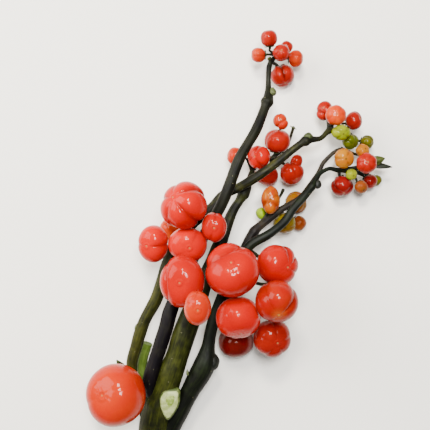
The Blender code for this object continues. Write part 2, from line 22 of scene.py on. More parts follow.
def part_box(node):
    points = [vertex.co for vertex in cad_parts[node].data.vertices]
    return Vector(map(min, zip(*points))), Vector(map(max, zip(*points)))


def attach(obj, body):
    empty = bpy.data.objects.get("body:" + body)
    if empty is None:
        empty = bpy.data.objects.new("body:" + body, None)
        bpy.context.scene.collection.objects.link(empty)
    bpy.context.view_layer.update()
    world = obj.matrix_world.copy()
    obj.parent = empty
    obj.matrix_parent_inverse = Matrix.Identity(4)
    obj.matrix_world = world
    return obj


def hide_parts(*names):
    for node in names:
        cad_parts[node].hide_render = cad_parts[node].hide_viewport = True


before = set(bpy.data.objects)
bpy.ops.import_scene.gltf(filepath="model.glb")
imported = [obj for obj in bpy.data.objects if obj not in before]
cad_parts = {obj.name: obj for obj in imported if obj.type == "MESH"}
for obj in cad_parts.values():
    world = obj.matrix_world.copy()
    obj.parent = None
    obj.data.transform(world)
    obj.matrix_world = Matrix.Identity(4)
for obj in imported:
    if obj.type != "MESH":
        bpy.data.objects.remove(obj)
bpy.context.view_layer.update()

log = logging.getLogger("branch")
MM = 0.001
BODY = "root"
MIX_A, MIX_B, MIX_OUT = 6, 7, 2  # the colour sockets of a Mix node
LARGE_WIDTH = 24  # a wider fruit has a finer mesh and a thicker stalk
TABLE_GAP = 0.1 * MM  # how low a small part reaches
BARK_GAP = 0.02 * MM  # how low bark reaches
FIRST_SEED = 3
Point = tuple[float, float, float]
Knot = tuple[float, float, float, float]
Faces = list[tuple[int, ...]]


class Slot(str, Enum):
    """The record's finishes."""

    RIPE = "ripe_skin"
    ORANGE = "orange_skin"
    UNRIPE = "unripe_skin"
    GREEN_BARK = "green_bark"
    DARK_BARK = "dark_bark"
    YOUNG_BARK = "young_bark"
    LEAF = "leaf"


# ---- Nodes and meshes ------------------------------------------------------------------------
def linear(code: str) -> tuple[float, float, float, float]:
    """Turns an sRGB hex colour into linear light, with an alpha of one.

    Args:
        code: Six hex digits after a hash.

    Returns:
        Red, green, blue and alpha.
    """
    parts = [int(code[i : i + 2], 16) / 255 for i in (1, 3, 5)]
    red, green, blue = (c / 12.92 if c <= 0.04045 else ((c + 0.055) / 1.055) ** 2.4 for c in parts)
    return red, green, blue, 1.0


class Graph:
    """Adds nodes to a shader or geometry tree. Most methods give the new node's socket."""

    def __init__(self, tree: Any) -> None:
        """Starts on a tree."""
        self.tree = tree

    def feed(self, node: Any, inputs: dict[Any, Any]) -> None:
        """Links or sets a node's inputs.

        Args:
            node: The node.
            inputs: The socket or constant for each input name or number.
        """
        for key, value in inputs.items():
            if isinstance(value, bpy.types.NodeSocket):
                self.tree.links.new(value, node.inputs[key])
            else:
                node.inputs[key].default_value = value

    def add(self, kind: str, inputs: dict[Any, Any] | None = None, output: Any = 0, **settings: Any) -> Any:
        """Adds a node.

        Args:
            kind: The node's type name.
            inputs: What feeds it.
            output: Which of its sockets to give.
            settings: Properties of the node itself.

        Returns:
            The socket.
        """
        made = self.tree.nodes.new(kind)
        for key, value in settings.items():
            setattr(made, key, value)
        self.feed(made, inputs or {})
        return made.outputs[output]

    def attribute(self, name: str, output: str) -> Any:
        """Reads a named attribute."""
        return self.add("ShaderNodeAttribute", output=output, attribute_name=name)

    def noise(self, at: Any, size: float, detail: float, rough: float = 0.5) -> Any:
        """Adds noise whose grain is so many millimetres."""
        inputs = {"Vector": at, "Scale": 1 / (size * MM), "Detail": detail, "Roughness": rough}
        return self.add("ShaderNodeTexNoise", inputs)

    def ramp(self, value: Any, low: float, high: float, start: float = 0.0, end: float = 1.0,
             smooth: bool = False) -> Any:
        """Moves the range from low to high onto the one from start to end.

        Args:
            value: What is moved.
            low: Where it starts.
            high: Where it ends.
            start: What low becomes.
            end: What high becomes.
            smooth: Whether it eases in and out.

        Returns:
            The socket.
        """
        inputs = {"Value": value, "From Min": low, "From Max": high, "To Min": start, "To Max": end}
        kind = "SMOOTHSTEP" if smooth else "LINEAR"
        return self.add("ShaderNodeMapRange", inputs, interpolation_type=kind)

    def mix(self, share: Any, first: Any, second: str) -> Any:
        """Mixes a colour with a second one, given in hex."""
        first = linear(first) if isinstance(first, str) else first
        inputs = {"Factor": share, MIX_A: first, MIX_B: linear(second)}
        return self.add("ShaderNodeMix", inputs, MIX_OUT, data_type="RGBA")

    def math(self, operation: str, *values: Any) -> Any:
        """Does a sum on numbers."""
        return self.add("ShaderNodeMath", dict(enumerate(values)), operation=operation)

    def vector(self, operation: str, first: Any, second: Any) -> Any:
        """Does a sum on vectors."""
        key = "Scale" if operation == "SCALE" else 1
        return self.add("ShaderNodeVectorMath", {0: first, key: second}, operation=operation)

    def bump(self, height: Any, strength: float, distance: float, under: Any = None) -> Any:
        """Adds relief of so many millimetres, over other relief if there is any."""
        inputs = {"Height": height, "Strength": strength, "Distance": distance * MM}
        return self.add("ShaderNodeBump", inputs if under is None else {**inputs, "Normal": under})

    def capture(self, geometry: Any, **values: Any) -> Any:
        """Captures values on a geometry, and gives all the node's sockets."""
        made = self.tree.nodes.new("GeometryNodeCaptureAttribute")
        for name, socket in values.items():
            made.capture_items.new("VECTOR" if socket.type == "VECTOR" else "FLOAT", name)
        self.feed(made, {"Geometry": geometry, **values})
        return made.outputs

    def dressed(self, geometry: Any, material: Any) -> Any:
        """Ends a geometry tree with real mesh in its material, and gives the tree."""
        real = self.add("GeometryNodeRealizeInstances", {"Geometry": geometry})
        mesh = self.add("GeometryNodeSetMaterial", {"Geometry": real, "Material": material})
        self.feed(self.tree.nodes.new("NodeGroupOutput"), {"Mesh": mesh})
        return self.tree


def blank_material(name: str) -> tuple[Any, Graph, Any]:
    """Makes a material that holds nothing but its shader.

    Args:
        name: The material's name.

    Returns:
        The material, its graph and its Principled shader.
    """
    made = bpy.data.materials.new(name)
    made.use_nodes = True
    return made, Graph(made.node_tree), made.node_tree.nodes["Principled BSDF"]


def in_scene(name: str, data: Any) -> Any:
    """Puts mesh, light or camera data into the scene as an object at the origin."""
    made = bpy.data.objects.new(name, data)
    bpy.context.scene.collection.objects.link(made)
    return made


def mesh_object(name: str, points: np.ndarray, faces: Faces, material: Any) -> Any:
    """Makes a smooth piece.

    Args:
        name: Its name.
        points: Its corners in metres.
        faces: Corner numbers of each face.
        material: Its finish.

    Returns:
        The object.
    """
    mesh = bpy.data.meshes.new(name)
    mesh.from_pydata(points.tolist(), [], faces)
    mesh.shade_smooth()
    mesh.materials.append(material)
    return in_scene(name, mesh)


def note(mesh: Any, name: str, values: np.ndarray) -> None:
    """Stores a number at each corner of a mesh."""
    mesh.attributes.new(name, "FLOAT", "POINT").data.foreach_set("value", values.astype(np.float32))


def closed_angles(segments: int, rows: int) -> tuple[np.ndarray, np.ndarray]:
    """Angles of a round body's corners, row by row, with its two poles last.

    Args:
        segments: Corners in a row.
        rows: How many rows.

    Returns:
        Each corner's angle from the first pole, and round the axis.
    """
    polar = np.linspace(0, np.pi, rows + 2)[1:-1]
    azimuth = np.arange(segments) * math.tau / segments
    p, a = np.meshgrid(polar, azimuth, indexing="ij")
    return np.concatenate([p.ravel(), [0, np.pi]]), np.concatenate([a.ravel(), [0, 0]])


def closed_faces(segments: int, rows: int) -> Faces:
    """Faces over the corners of closed_angles.

    Args:
        segments: Corners in a row.
        rows: How many rows.

    Returns:
        Corner numbers of each face.
    """
    around = [(s, (s + 1) % segments) for s in range(segments)]
    starts = [(r * segments, (r + 1) * segments) for r in range(rows - 1)]
    faces: Faces = [(a + s, b + s, b + t, a + t) for a, b in starts for s, t in around]
    top, last = rows * segments, (rows - 1) * segments
    for s, t in around:
        faces += [(top, s, t), (top + 1, last + t, last + s)]
    return faces


def square_to(axis: Vector, *wishes: Point) -> Vector:
    """Picks the first direction that lies well off an axis, and makes it square to it.

    Args:
        axis: The axis, of length one.
        wishes: The directions.

    Returns:
        The squared direction, of length one.
    """
    side = axis
    for wish in map(Vector, wishes):
        side = wish - axis * axis.dot(wish)
        if side.length >= 0.2:
            break
    return side.normalized()


def keep(piece: Any, slot: Slot, *nodes: str) -> None:
    """Rides a finished piece on the branch, in place of the solids that it stands for.

    Args:
        piece: The finished object.
        slot: The record's finish that it has; not used.
        nodes: The solids.
    """
    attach(piece, BODY)
    if nodes:
        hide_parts(*nodes)
    log.info("%s: %d faces", piece.name, len(piece.data.polygons))


# ---- Finishes --------------------------------------------------------------------------------
SHINE_TINTS = {
    Slot.RIPE: (1.0, 0.3, 0.12, 1.0),
    Slot.ORANGE: (1.0, 0.6, 0.15, 1.0),
    Slot.UNRIPE: (0.95, 1.0, 0.25, 1.0),
}


@dataclass(frozen=True)
class BerrySkin:
    """Waxy fruit skin, as it grows: thin and tight over wet flesh, so it shines like a glaze."""

    name: str
    flesh: str  # the main colour
    flush: str  # the paler colour of its patches
    deep: str  # painted shade, in the creases and towards the stalk
    slot: Slot = Slot.RIPE
    patches: float = 0.45  # how much of the skin the patches take
    patch_mm: float = 15.0
    tip: str = "#8a5a36"  # the corky scar where the flower stood
    ring_mm: float = 3.4  # how far the paler ring round the scar reaches
    ring: float = 0.3  # how strong that ring is
    gloss: float = 0.27
    halo: str = ""  # round the scar, where it isn't the flush
    coat: float = 0.18  # the wax over the skin

    def material(self) -> Any:
        """Builds the finish.

        Returns:
            The material.
        """
        made, graph, shader = blank_material(f"waxy_skin_{self.name}")
        place = graph.add("ShaderNodeTexCoord", output="Object")
        patch = graph.noise(place, self.patch_mm, 3.0, 0.45)
        spread = graph.ramp(patch, 0.72 - self.patches, 1.0 - self.patches / 2, smooth=True)
        colour = graph.mix(spread, self.flesh, self.flush)
        # Painted shade: towards the stalk and down in the creases the skin is darker.
        colour = graph.mix(graph.attribute("fold", "Fac"), colour, self.deep)
        # Pores under 0.6 mm across, too fine to count, that only break up the colour.
        pores = graph.noise(place, 0.6, 2.0, 0.6)
        colour = graph.mix(graph.ramp(pores, 0.62, 0.8, 0.0, 0.16), colour, self.flush)
        # The flower's scar, one to two millimetres across, with a paler ring round it.
        wander = graph.math("MULTIPLY_ADD", pores, 0.9 * MM, graph.attribute("scar_distance", "Fac"))
        ring = graph.ramp(wander, 1.2 * MM, self.ring_mm * MM, self.ring, 0.0, smooth=True)
        colour = graph.mix(ring, colour, self.halo or self.flush)
        dot = graph.ramp(wander, 0.9 * MM, 1.5 * MM, 0.8, 0.0, smooth=True)
        colour = graph.mix(dot, colour, self.tip)
        # Bloom: the wax is uneven, so the gloss is too.
        bloom = graph.noise(place, 5, 4.0, 0.6)
        rough = graph.ramp(bloom, 0.3, 0.7, self.gloss - 0.05, self.gloss + 0.09)
        relief = graph.bump(pores, 0.12, 0.05, under=graph.bump(bloom, 0.25, 0.25))
        # The scar's rim: a low wall, wider on the large fruits.
        rim = 0.14 * self.patch_mm * MM
        rise = graph.ramp(wander, 0.5 * rim, rim, smooth=True)
        fall = graph.ramp(wander, rim, 1.8 * rim, 1.0, 0.0, smooth=True)
        wall = graph.math("MULTIPLY", rise, fall)
        graph.feed(shader, {
            "Base Color": colour,
            "Roughness": graph.math("MULTIPLY_ADD", dot, 0.4, rough),
            "Normal": graph.bump(wall, 0.7, 0.03 * self.patch_mm, under=relief),
            "IOR": 1.45,
            "Specular IOR Level": 0.1,
            "Specular Tint": SHINE_TINTS[self.slot],
            "Coat Weight": self.coat,
            "Coat Roughness": 0.07,
            "Subsurface Weight": 0.1,
            "Subsurface Radius": (1.0, 0.28, 0.1),
            "Subsurface Scale": 2.5 * MM,
        })
        return made


@dataclass(frozen=True)
class SmallSkin(BerrySkin):
    """The skin of a small red fruit."""

    patch_mm: float = 9.0
    coat: float = 0.16


@dataclass(frozen=True)
class TurningSkin(BerrySkin):
    """The skin of a small fruit that is turning orange."""

    slot: Slot = Slot.ORANGE
    patches: float = 0.5
    patch_mm: float = 8.0
    tip: str = "#3e2a12"
    gloss: float = 0.36
    coat: float = 0.15


@dataclass(frozen=True)
class UnripeSkin(BerrySkin):
    """The skin of a small green fruit."""

    slot: Slot = Slot.UNRIPE
    patches: float = 0.5
    patch_mm: float = 7.0
    tip: str = "#46401c"
    gloss: float = 0.32
    coat: float = 0.15


@dataclass(frozen=True)
class Bark:
    """Green bark of a soft woody shoot: smooth, finely ribbed along its length, satin."""

    name: str
    base: str  # at the foot of the shoot
    tip: str  # towards its end
    rib: str  # painted highlight on its ribs, and the colour of its pale mottles
    shade: str  # painted shade between its ribs, and the colour of its dark mottles
    slot: Slot = Slot.GREEN_BARK
    turns_at: float = 0.55  # share of the length where the base colour gives way
    length_mm: float = 250.0
    rib_mm: float = 1.3

    def material(self) -> Any:
        """Builds the finish, which follows the shoot through its own bark_place attribute.

        Returns:
            The material.
        """
        made, graph, shader = blank_material(self.name)
        place = graph.attribute("bark_place", "Vector")
        blotch = graph.noise(place, 14, 4.0, 0.6)
        along = graph.add("ShaderNodeSeparateXYZ", {0: place}, "Z")
        reach = graph.math("MULTIPLY_ADD", blotch, 60 * MM, along)
        turn = self.turns_at * self.length_mm * MM
        colour = graph.mix(graph.ramp(reach, turn, turn + 70 * MM, smooth=True), self.base, self.tip)
        # Ribs run with the shoot: narrow round it and twelve times as long along it.
        ribs = graph.noise(graph.vector("MULTIPLY", place, (1.0, 1.0, 1 / 12)), self.rib_mm, 4.0, 0.62)
        # Painted shade between the ribs.
        colour = graph.mix(graph.ramp(ribs, 0.5, 0.3, 0.0, 0.7), colour, self.shade)
        # Broad dark mottles, where the bark is oldest.
        colour = graph.mix(graph.ramp(blotch, 0.54, 0.36, 0.0, 0.7, smooth=True), colour, self.shade)
        # Painted highlight on the ribs, then the pale mottles.
        colour = graph.mix(graph.ramp(ribs, 0.54, 0.72, 0.0, 0.6), colour, self.rib)
        colour = graph.mix(graph.ramp(blotch, 0.5, 0.7, 0.0, 0.45, smooth=True), colour, self.rib)
        graph.feed(shader, {
            "Base Color": colour,
            "Roughness": graph.ramp(ribs, 0.3, 0.7, 0.62, 0.42),
            "Normal": graph.bump(ribs, 0.5, 0.35),
            "IOR": 1.46,
            "Specular IOR Level": 0.11,
        })
        return made


@dataclass(frozen=True)
class Tissue:
    """A small soft part in two tones, such as a calyx, a leaf, a scar or cork."""

    name: str
    main: str
    second: str
    slot: Slot = Slot.LEAF
    spot_mm: float = 2.0
    rough: float = 0.55

    def material(self) -> Any:
        """Builds the finish.

        Returns:
            The material.
        """
        made, graph, shader = blank_material(self.name)
        noise = graph.noise(graph.add("ShaderNodeTexCoord", output="Object"), self.spot_mm, 4.0, 0.6)
        graph.feed(shader, {
            "Base Color": graph.mix(graph.ramp(noise, 0.38, 0.66, smooth=True), self.main, self.second),
            "Roughness": graph.ramp(noise, 0.0, 1.0, self.rough - 0.1, self.rough + 0.1),
            "Normal": graph.bump(noise, 0.4, 0.2),
            "Specular IOR Level": 0.2,
        })
        return made


LARGE_RED = BerrySkin("red", "#a20300", "#aa0a00", "#5c0100")
RIPE_RED = BerrySkin("ripe_red", "#960300", "#9e0900", "#560100")
DEEP_RED = BerrySkin("deep_red", "#780c06", "#841408", "#400402")
TIPPED_RED = BerrySkin("red_with_golden_tip", "#840300", "#8c1a03", "#480200", tip="#b8861c", halo="#a84c06",
                       ring_mm=8.5, ring=0.6)
LARGE_ORANGE = BerrySkin("orange_red", "#981300", "#9e2200", "#640700", patch_mm=24)
PEACH = BerrySkin("peach", "#aa2400", "#b84404", "#700c00")
BRIGHT_ORANGE = BerrySkin("bright_orange", "#9a1700", "#a22c00", "#6a0a00")
MAROON = BerrySkin("maroon", "#520806", "#600c08", "#280404")
SMALL_RED = SmallSkin("small_red", "#800c04", "#8c160a", "#400402")
CRIMSON = SmallSkin("crimson", "#640908", "#74100e", "#300404")
CORAL = SmallSkin("coral", "#981a02", "#a43208", "#5c0802")
AMBER = TurningSkin("amber", "#882402", "#965402", "#561002", patches=0.42, gloss=0.34)
GOLD = TurningSkin("gold", "#8a4402", "#945e04", "#5e2002", gloss=0.32)
OCHRE = TurningSkin("ochre", "#703602", "#785004", "#3e1602")
OLIVE_GOLD = TurningSkin("olive_gold", "#6a3c06", "#60540c", "#3c1c04", patches=0.6, tip="#30260e")
RUSSET = TurningSkin("russet", "#6c280a", "#744410", "#3e1004", patches=0.45, tip="#30200e")
LIME = UnripeSkin("lime", "#626a02", "#7a8008", "#384602")
FRESH_LIME = UnripeSkin("fresh_lime", "#6c8a02", "#86a008", "#3c5002")
LEEK = UnripeSkin("green", "#3a4204", "#545808", "#1c2602", tip="#38341a", gloss=0.34)
OLIVE = UnripeSkin("olive", "#3c3a04", "#56500c", "#1c2202", tip="#38301a", gloss=0.34)

TRUNK_BARK = Bark("green_bark_trunk", "#1e2104", "#11110a", "#3a3e12", "#050502", length_mm=260)
LEFT_BARK = Bark("green_bark_left_shoot", "#232406", "#0e0e07", "#3e3e10", "#080902", length_mm=270)
MIDDLE_BARK = Bark("purple_bark_middle_shoot", "#060306", "#101106", "#1a190f", "#020103",
                   Slot.DARK_BARK, 0.42, 290)
RIGHT_BARK = Bark("green_black_bark_right_shoot", "#070903", "#0a0e07", "#18200d", "#020301", length_mm=240)
SIDE_BARK = Bark("dark_bark_side_shoot", "#15110f", "#262016", "#3e3626", "#070504", Slot.DARK_BARK,
                 length_mm=110)
YOUNG_BARK = Bark("young_bark_pruned_shoot", "#3c4e16", "#465a1c", "#586a2c", "#26360c", Slot.YOUNG_BARK,
                  length_mm=70)
TWIG_BARK = Bark("twig_bark", "#181a0c", "#232214", "#443e2e", "#090a04", length_mm=30, rib_mm=0.8)
CALYX = Tissue("green_calyx", "#141c04", "#28340a")
BRACT = Tissue("green_bract", "#252a05", "#39400b")
LEAF_BLADE = Tissue("dark_leaf", "#0e1208", "#1a1d0c", spot_mm=3)
SCAR_FLESH = Tissue("pale_cut_wood", "#808b4e", "#a2ab74", Slot.YOUNG_BARK, 4)
SCAR_HEART = Tissue("green_cut_heart", "#66792c", "#8c9a52", Slot.YOUNG_BARK, 3)
SCAR_RIM = Tissue("green_cut_rim", "#2e3c14", "#565f30", Slot.YOUNG_BARK, 3)
CORK = Tissue("leaf_scar_cork", "#343a1c", "#4e5430", Slot.GREEN_BARK, 1.2)
NODE_CORK = Tissue("node_scar_cork", "#262c14", "#3c4424", Slot.GREEN_BARK, 1.2)
LENTICEL = Tissue("lenticel_cork", "#3e3d28", "#525038", Slot.GREEN_BARK, 1.0, 0.7)
PITH = Tissue("cut_stem_pith", "#767c54", "#969874", Slot.GREEN_BARK, 1.6, 0.6)
BUD_SCALE = Tissue("dark_bud_scale", "#080a06", "#15170e", Slot.DARK_BARK, 1.5)


# ---- Fruits ----------------------------------------------------------------------------------
def ribs(count: int, depth: float, first: float = 0.0) -> dict[float, float]:
    """Gives evenly spread creases: their depth as a share of the radius, by degrees."""
    return {first + 360 * k / count: depth for k in range(count)}


@dataclass(frozen=True)
class Lobe:
    """A swollen part of a fruit, cut off from the rest by a groove."""

    round_axis: float  # degrees
    from_end: float  # degrees from the blossom end
    radius: float  # degrees
    rise: float  # share of the fruit's radius
    groove: float

    def swell(self, across: np.ndarray, along: np.ndarray, azimuth: np.ndarray) -> np.ndarray:
        """How far the skin moves out, as a share of the fruit's radius.

        Args:
            across: Sine of the angle from the axis.
            along: Its cosine.
            azimuth: Angle round the axis.

        Returns:
            The move at each place.
        """
        turn, tilt, radius = (math.radians(v) for v in (self.round_axis, self.from_end, self.radius))
        cosine = math.cos(tilt) * along + math.sin(tilt) * across * np.cos(azimuth - turn)
        away = np.arccos(np.clip(cosine, -1, 1)) / radius
        dome = np.clip(1 - away**2, 0, 1) ** 0.75
        return self.rise * dome - self.groove * np.exp(-((np.abs(away - 1) / 0.22) ** 1.2))


@dataclass
class Berry:
    """One ribbed fruit, sized and placed by the solid of the same name."""

    node: str
    skin: BerrySkin
    width: float
    height: float
    faces: Point  # where the blossom end points
    creases: dict[float, float] = field(default_factory=dict)
    stretch: float = 1.0
    lobes: tuple[Lobe, ...] = ()
    rests: bool = False
    seed: int = 1
    pucker: float = 0.002  # how far the skin is drawn in round the blossom scar
    crease_width: float = 0.2
    squareness: float = 0.88
    origin: Vector = field(default_factory=Vector, init=False)
    scale: float = field(default=1.0, init=False)

    @property
    def large(self) -> bool:
        """Whether it is one of the large fruits."""
        return self.width > LARGE_WIDTH

    def turned(self) -> np.ndarray:
        """Gives the rotation from the fruit's own axes, its blossom end on +Z, to the branch's."""
        axis = Vector(self.faces).normalized()
        side = square_to(axis, (1, 0, 0), (0, 1, 0))
        return np.array(Matrix((side, axis.cross(side), axis)).transposed())

    def fold_depth(self, across: np.ndarray, azimuth: np.ndarray) -> np.ndarray:
        """How deep the creases are, as a share of the radius.

        Args:
            across: Sine of the angle from the axis.
            azimuth: Angle round the axis.

        Returns:
            The depth at each place.
        """
        depth = np.zeros_like(azimuth)
        for degrees, share in self.creases.items():
            away = np.abs((azimuth - math.radians(degrees) + np.pi) % math.tau - np.pi)
            depth += share * np.exp(-((away / self.crease_width) ** 1.1))
        return depth * np.clip((across - 0.1) / 0.5, 0, 1)

    def skin_points(self, polar: np.ndarray, azimuth: np.ndarray, lift: float | np.ndarray = 0.0) -> np.ndarray:
        """The skin in the fruit's own axes, in metres before it is fitted.

        Args:
            polar: 0 at the blossom end, pi at the stalk.
            azimuth: Angle round the axis.
            lift: How far to stand off the skin, in metres.

        Returns:
            One point for each pair of angles.
        """
        across, along = np.sin(polar), np.cos(polar)
        # A shallow hollow at the blossom end and a deeper one at the stalk.
        blossom_dimple, stalk_dimple, dimple_width = 0.05, 0.16, 0.34
        dimple = np.where(along > 0, blossom_dimple, stalk_dimple)
        hollow = 1 - dimple * np.exp(-((across / dimple_width) ** 2))
        swell = 1 - self.fold_depth(across, azimuth)
        for lobe in self.lobes:
            swell = swell + lobe.swell(across, along, azimuth)
        # No fruit is quite round: slow waves on its belly, and fine puckers round the scar.
        phases = np.random.default_rng(self.seed).uniform(0, math.tau, 8)
        belly = across**1.5
        swell = swell + belly * (
            0.010 * np.sin(2 * azimuth + phases[0] + 1.3 * along)
            + 0.008 * np.sin(3 * azimuth + phases[1] - 2.1 * along)
            + 0.004 * np.sin(5 * azimuth + phases[2] + 3.0 * along)
        )
        near = np.exp(-((across / 0.3) ** 2)) * (across / 0.2) ** 2
        drawn_in = np.sin(9 * azimuth + phases[3]) + 0.6 * np.sin(14 * azimuth + phases[4])
        swell = swell - self.pucker * near * drawn_in
        ring = self.width / 2 * np.abs(across) ** self.squareness * swell
        rise_z = self.height / 2 * np.sign(along) * np.abs(along) ** self.squareness * hollow * swell
        wide = math.sqrt(self.stretch)
        points = np.stack([ring * np.cos(azimuth) * wide, ring * np.sin(azimuth) / wide, rise_z], -1) * MM
        away = points / np.maximum(np.linalg.norm(points, axis=-1, keepdims=True), 1e-9)
        return points + away * np.expand_dims(np.asarray(lift) * np.ones_like(across), -1)

    def grid(self) -> tuple[int, int]:
        """Segments round the axis and rings from end to end: finer on a large fruit."""
        return (120, 76) if self.large else (80, 48)

    def fit(self) -> None:
        """Sets the scale and the place that bring the shape into its solid's box."""
        low, high = (np.array(c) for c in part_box(self.node))
        segments, rings = self.grid()
        polar, azimuth = np.meshgrid(np.linspace(0, np.pi, rings), np.linspace(0, math.tau, segments))
        raw = self.skin_points(polar.ravel(), azimuth.ravel()) @ self.turned().T
        sides = slice(0, 2) if self.rests else slice(0, 3)
        self.scale = float(np.mean(((high - low) / (raw.max(0) - raw.min(0)))[sides]))
        place = (low + high) / 2 - (raw.max(0) + raw.min(0)) / 2 * self.scale
        if self.rests:
            place[2] = high[2] - raw[:, 2].max() * self.scale
        self.origin = Vector(place)

    def placed(self, local: np.ndarray) -> np.ndarray:
        """Brings points from the fruit's own axes to the branch's."""
        return local @ self.turned().T * self.scale + np.array(self.origin)

    def build(self, finish: Any) -> Any:
        """Makes the fruit.

        Args:
            finish: Its material.

        Returns:
            The piece.
        """
        segments, rings = self.grid()
        p, a = closed_angles(segments, rings - 1)
        local = self.skin_points(p, a)
        points = self.placed(local)
        if self.rests:
            points[:, 2] = soft_floor(points[:, 2], 0.5 * MM)
        piece = mesh_object(f"{self.node}_skin", points, closed_faces(segments, rings - 1), finish)
        # Painted shade for the skin's colour: darker in the creases and lobe grooves and towards the stalk.
        grooves = sum(np.clip(-lobe.swell(np.sin(p), np.cos(p), a), 0, 1) for lobe in self.lobes)
        shaded_by_depth, shoulder, most = 5.5, 2.2, 0.9
        fold = (self.fold_depth(np.sin(p), a) + grooves) * shaded_by_depth
        fold = fold + np.clip((p - shoulder) / 0.9, 0, 1) * 0.5
        note(piece.data, "fold", np.clip(fold, 0, most))
        far_off = 1.0  # on the stalk's side, where no scar is
        note(piece.data, "scar_distance", np.where(p < np.pi / 2, np.linalg.norm(local[:, :2], axis=1), far_off))
        return piece

    def stalk_end(self) -> tuple[Vector, Vector]:
        """Where the stalk meets the fruit, and the direction from there to the blossom end."""
        end = Vector(self.placed(self.skin_points(np.array([np.pi]), np.array([0.0])))[0])
        return end, Vector(self.faces).normalized()

    def calyx(self) -> tuple[np.ndarray, Faces]:
        """Makes the five-lobed calyx that hugs the stalk end.

        Returns:
            Points in the branch's axes and the faces over them.
        """
        segments, layers = 40, 7
        reach = 0.58 if self.large else 0.6
        azimuth = np.arange(segments) * math.tau / segments
        lobes = 0.42 + 0.58 * np.abs(np.cos(2.5 * (azimuth + self.seed * 0.7))) ** 1.4
        s, a = np.meshgrid(np.linspace(0, 1, layers + 1)[1:], azimuth, indexing="ij")
        polar = (np.pi - s * reach * lobes[None, :]).ravel()
        sheets = []
        for side in (1, 0):
            lift = (0.25 + 0.5 * s**4 + side * (0.75 - 0.45 * s)) * MM
            sheets.append(self.placed(self.skin_points(polar, a.ravel(), lift.ravel())))
        end, axis = self.stalk_end()
        hub = [np.array(end - axis * 0.9 * MM), np.array(end - axis * 0.2 * MM)]
        size = segments * layers
        faces: Faces = []
        for s in range(segments):
            t = (s + 1) % segments
            faces += [(t, s, 2 * size), (size + s, size + t, 2 * size + 1)]
            for a in range(0, size - segments, segments):
                b = a + segments
                faces += [(a + t, b + t, b + s, a + s), (size + a + s, size + b + s, size + b + t, size + a + t)]
            rim = size - segments
            faces.append((rim + t, size + rim + t, size + rim + s, rim + s))
        return np.concatenate([*sheets, hub]), faces


def soft_floor(height: np.ndarray, give: float) -> np.ndarray:
    """Flattens what would go below the table, with a rounded edge.

    Args:
        height: Heights in metres.
        give: How softly it bends.

    Returns:
        Heights that are nowhere below zero.
    """
    return (height + np.sqrt(height**2 + give**2)) / 2 - give / 2 * np.exp(-np.abs(height) / give)


# ---- Shoots ----------------------------------------------------------------------------------
def smooth_line(knots: list[Knot], step: float) -> np.ndarray:
    """Runs a smooth curve through drawn knots.

    Args:
        knots: Place and radius of each, in millimetres.
        step: Spacing along the curve, in millimetres.

    Returns:
        Place and radius at each step.
    """
    k = np.array(knots, float)
    k = np.vstack([2 * k[0] - k[1], k, 2 * k[-1] - k[-2]])
    k[[0, -1], 3] = k[[1, -2], 3]
    out = []
    for i in range(1, len(k) - 2):
        count = max(2, int(np.linalg.norm(k[i + 1, :3] - k[i, :3]) / step))
        t = np.linspace(0, 1, count, endpoint=False)[:, None]
        p0, p1, p2, p3 = k[i - 1 : i + 3]
        out.append(
            0.5 * (2 * p1 + (p2 - p0) * t + (2 * p0 - 5 * p1 + 4 * p2 - p3) * t**2
                   + (3 * p1 - p0 - 3 * p2 + p3) * t**3)
        )
    return np.vstack([*out, k[-2:-1]])


def geometry_graph(name: str, inputs: dict[str, str]) -> tuple[Graph, Any]:
    """Starts a Geometry Nodes tree.

    Args:
        name: Its name.
        inputs: The kind of each input.

    Returns:
        Its graph, and the sockets of its inputs.
    """
    tree = bpy.data.node_groups.new(name, "GeometryNodeTree")
    for label, kind in inputs.items():
        tree.interface.new_socket(label, in_out="INPUT", socket_type=f"NodeSocket{kind}")
    tree.interface.new_socket("Mesh", in_out="OUTPUT", socket_type="NodeSocketGeometry")
    graph = Graph(tree)
    return graph, graph.add("NodeGroupInput").node.outputs


def sweep_tree() -> Any:
    """Builds the tree that sweeps ribbed bark along drawn lines.

    Returns:
        The node group.
    """
    graph, given = geometry_graph("bark_sweep", {"Line": "Geometry", "Sides": "Int", "Rib Width": "Float",
                                                 "Rib Depth": "Float", "Bark": "Material"})
    line = graph.add("GeometryNodeMeshToCurve", {"Mesh": given["Line"]})
    thickness = graph.add("GeometryNodeInputNamedAttribute", {"Name": "thickness"}, data_type="FLOAT")
    travelled = graph.add("GeometryNodeSplineParameter", output="Length")
    line = graph.capture(line, Length=travelled, Thickness=thickness)
    rim = graph.add("GeometryNodeCurvePrimitiveCircle", {"Resolution": given["Sides"], "Radius": 1.0})
    rim = graph.capture(rim, Round=graph.add("GeometryNodeInputPosition"))
    swept = graph.add("GeometryNodeCurveToMesh", {
        "Curve": line["Geometry"], "Profile Curve": rim["Geometry"], "Scale": line["Thickness"], "Fill Caps": True,
    })
    across = graph.vector("SCALE", rim["Round"], line["Thickness"])
    place = graph.vector("ADD", across, graph.add("ShaderNodeCombineXYZ", {"Z": line["Length"]}))
    stored = graph.add(
        "GeometryNodeStoreNamedAttribute", {"Geometry": swept, "Name": "bark_place", "Value": place},
        data_type="FLOAT_VECTOR", domain="POINT",
    )
    drawn_out = graph.vector("MULTIPLY", place, (1.0, 1.0, 0.07))
    fineness = graph.math("DIVIDE", 1.0, given["Rib Width"])
    noise = graph.add("ShaderNodeTexNoise", {"Vector": drawn_out, "Scale": fineness, "Detail": 2.0})
    depth = graph.math("MULTIPLY", graph.math("SUBTRACT", noise, 0.5), given["Rib Depth"])
    offset = graph.vector("SCALE", graph.add("GeometryNodeInputNormal"), depth)
    ribbed = graph.add("GeometryNodeSetPosition", {"Geometry": stored, "Offset": offset})
    return graph.dressed(graph.add("GeometryNodeSetShadeSmooth", {"Geometry": ribbed}), given["Bark"])


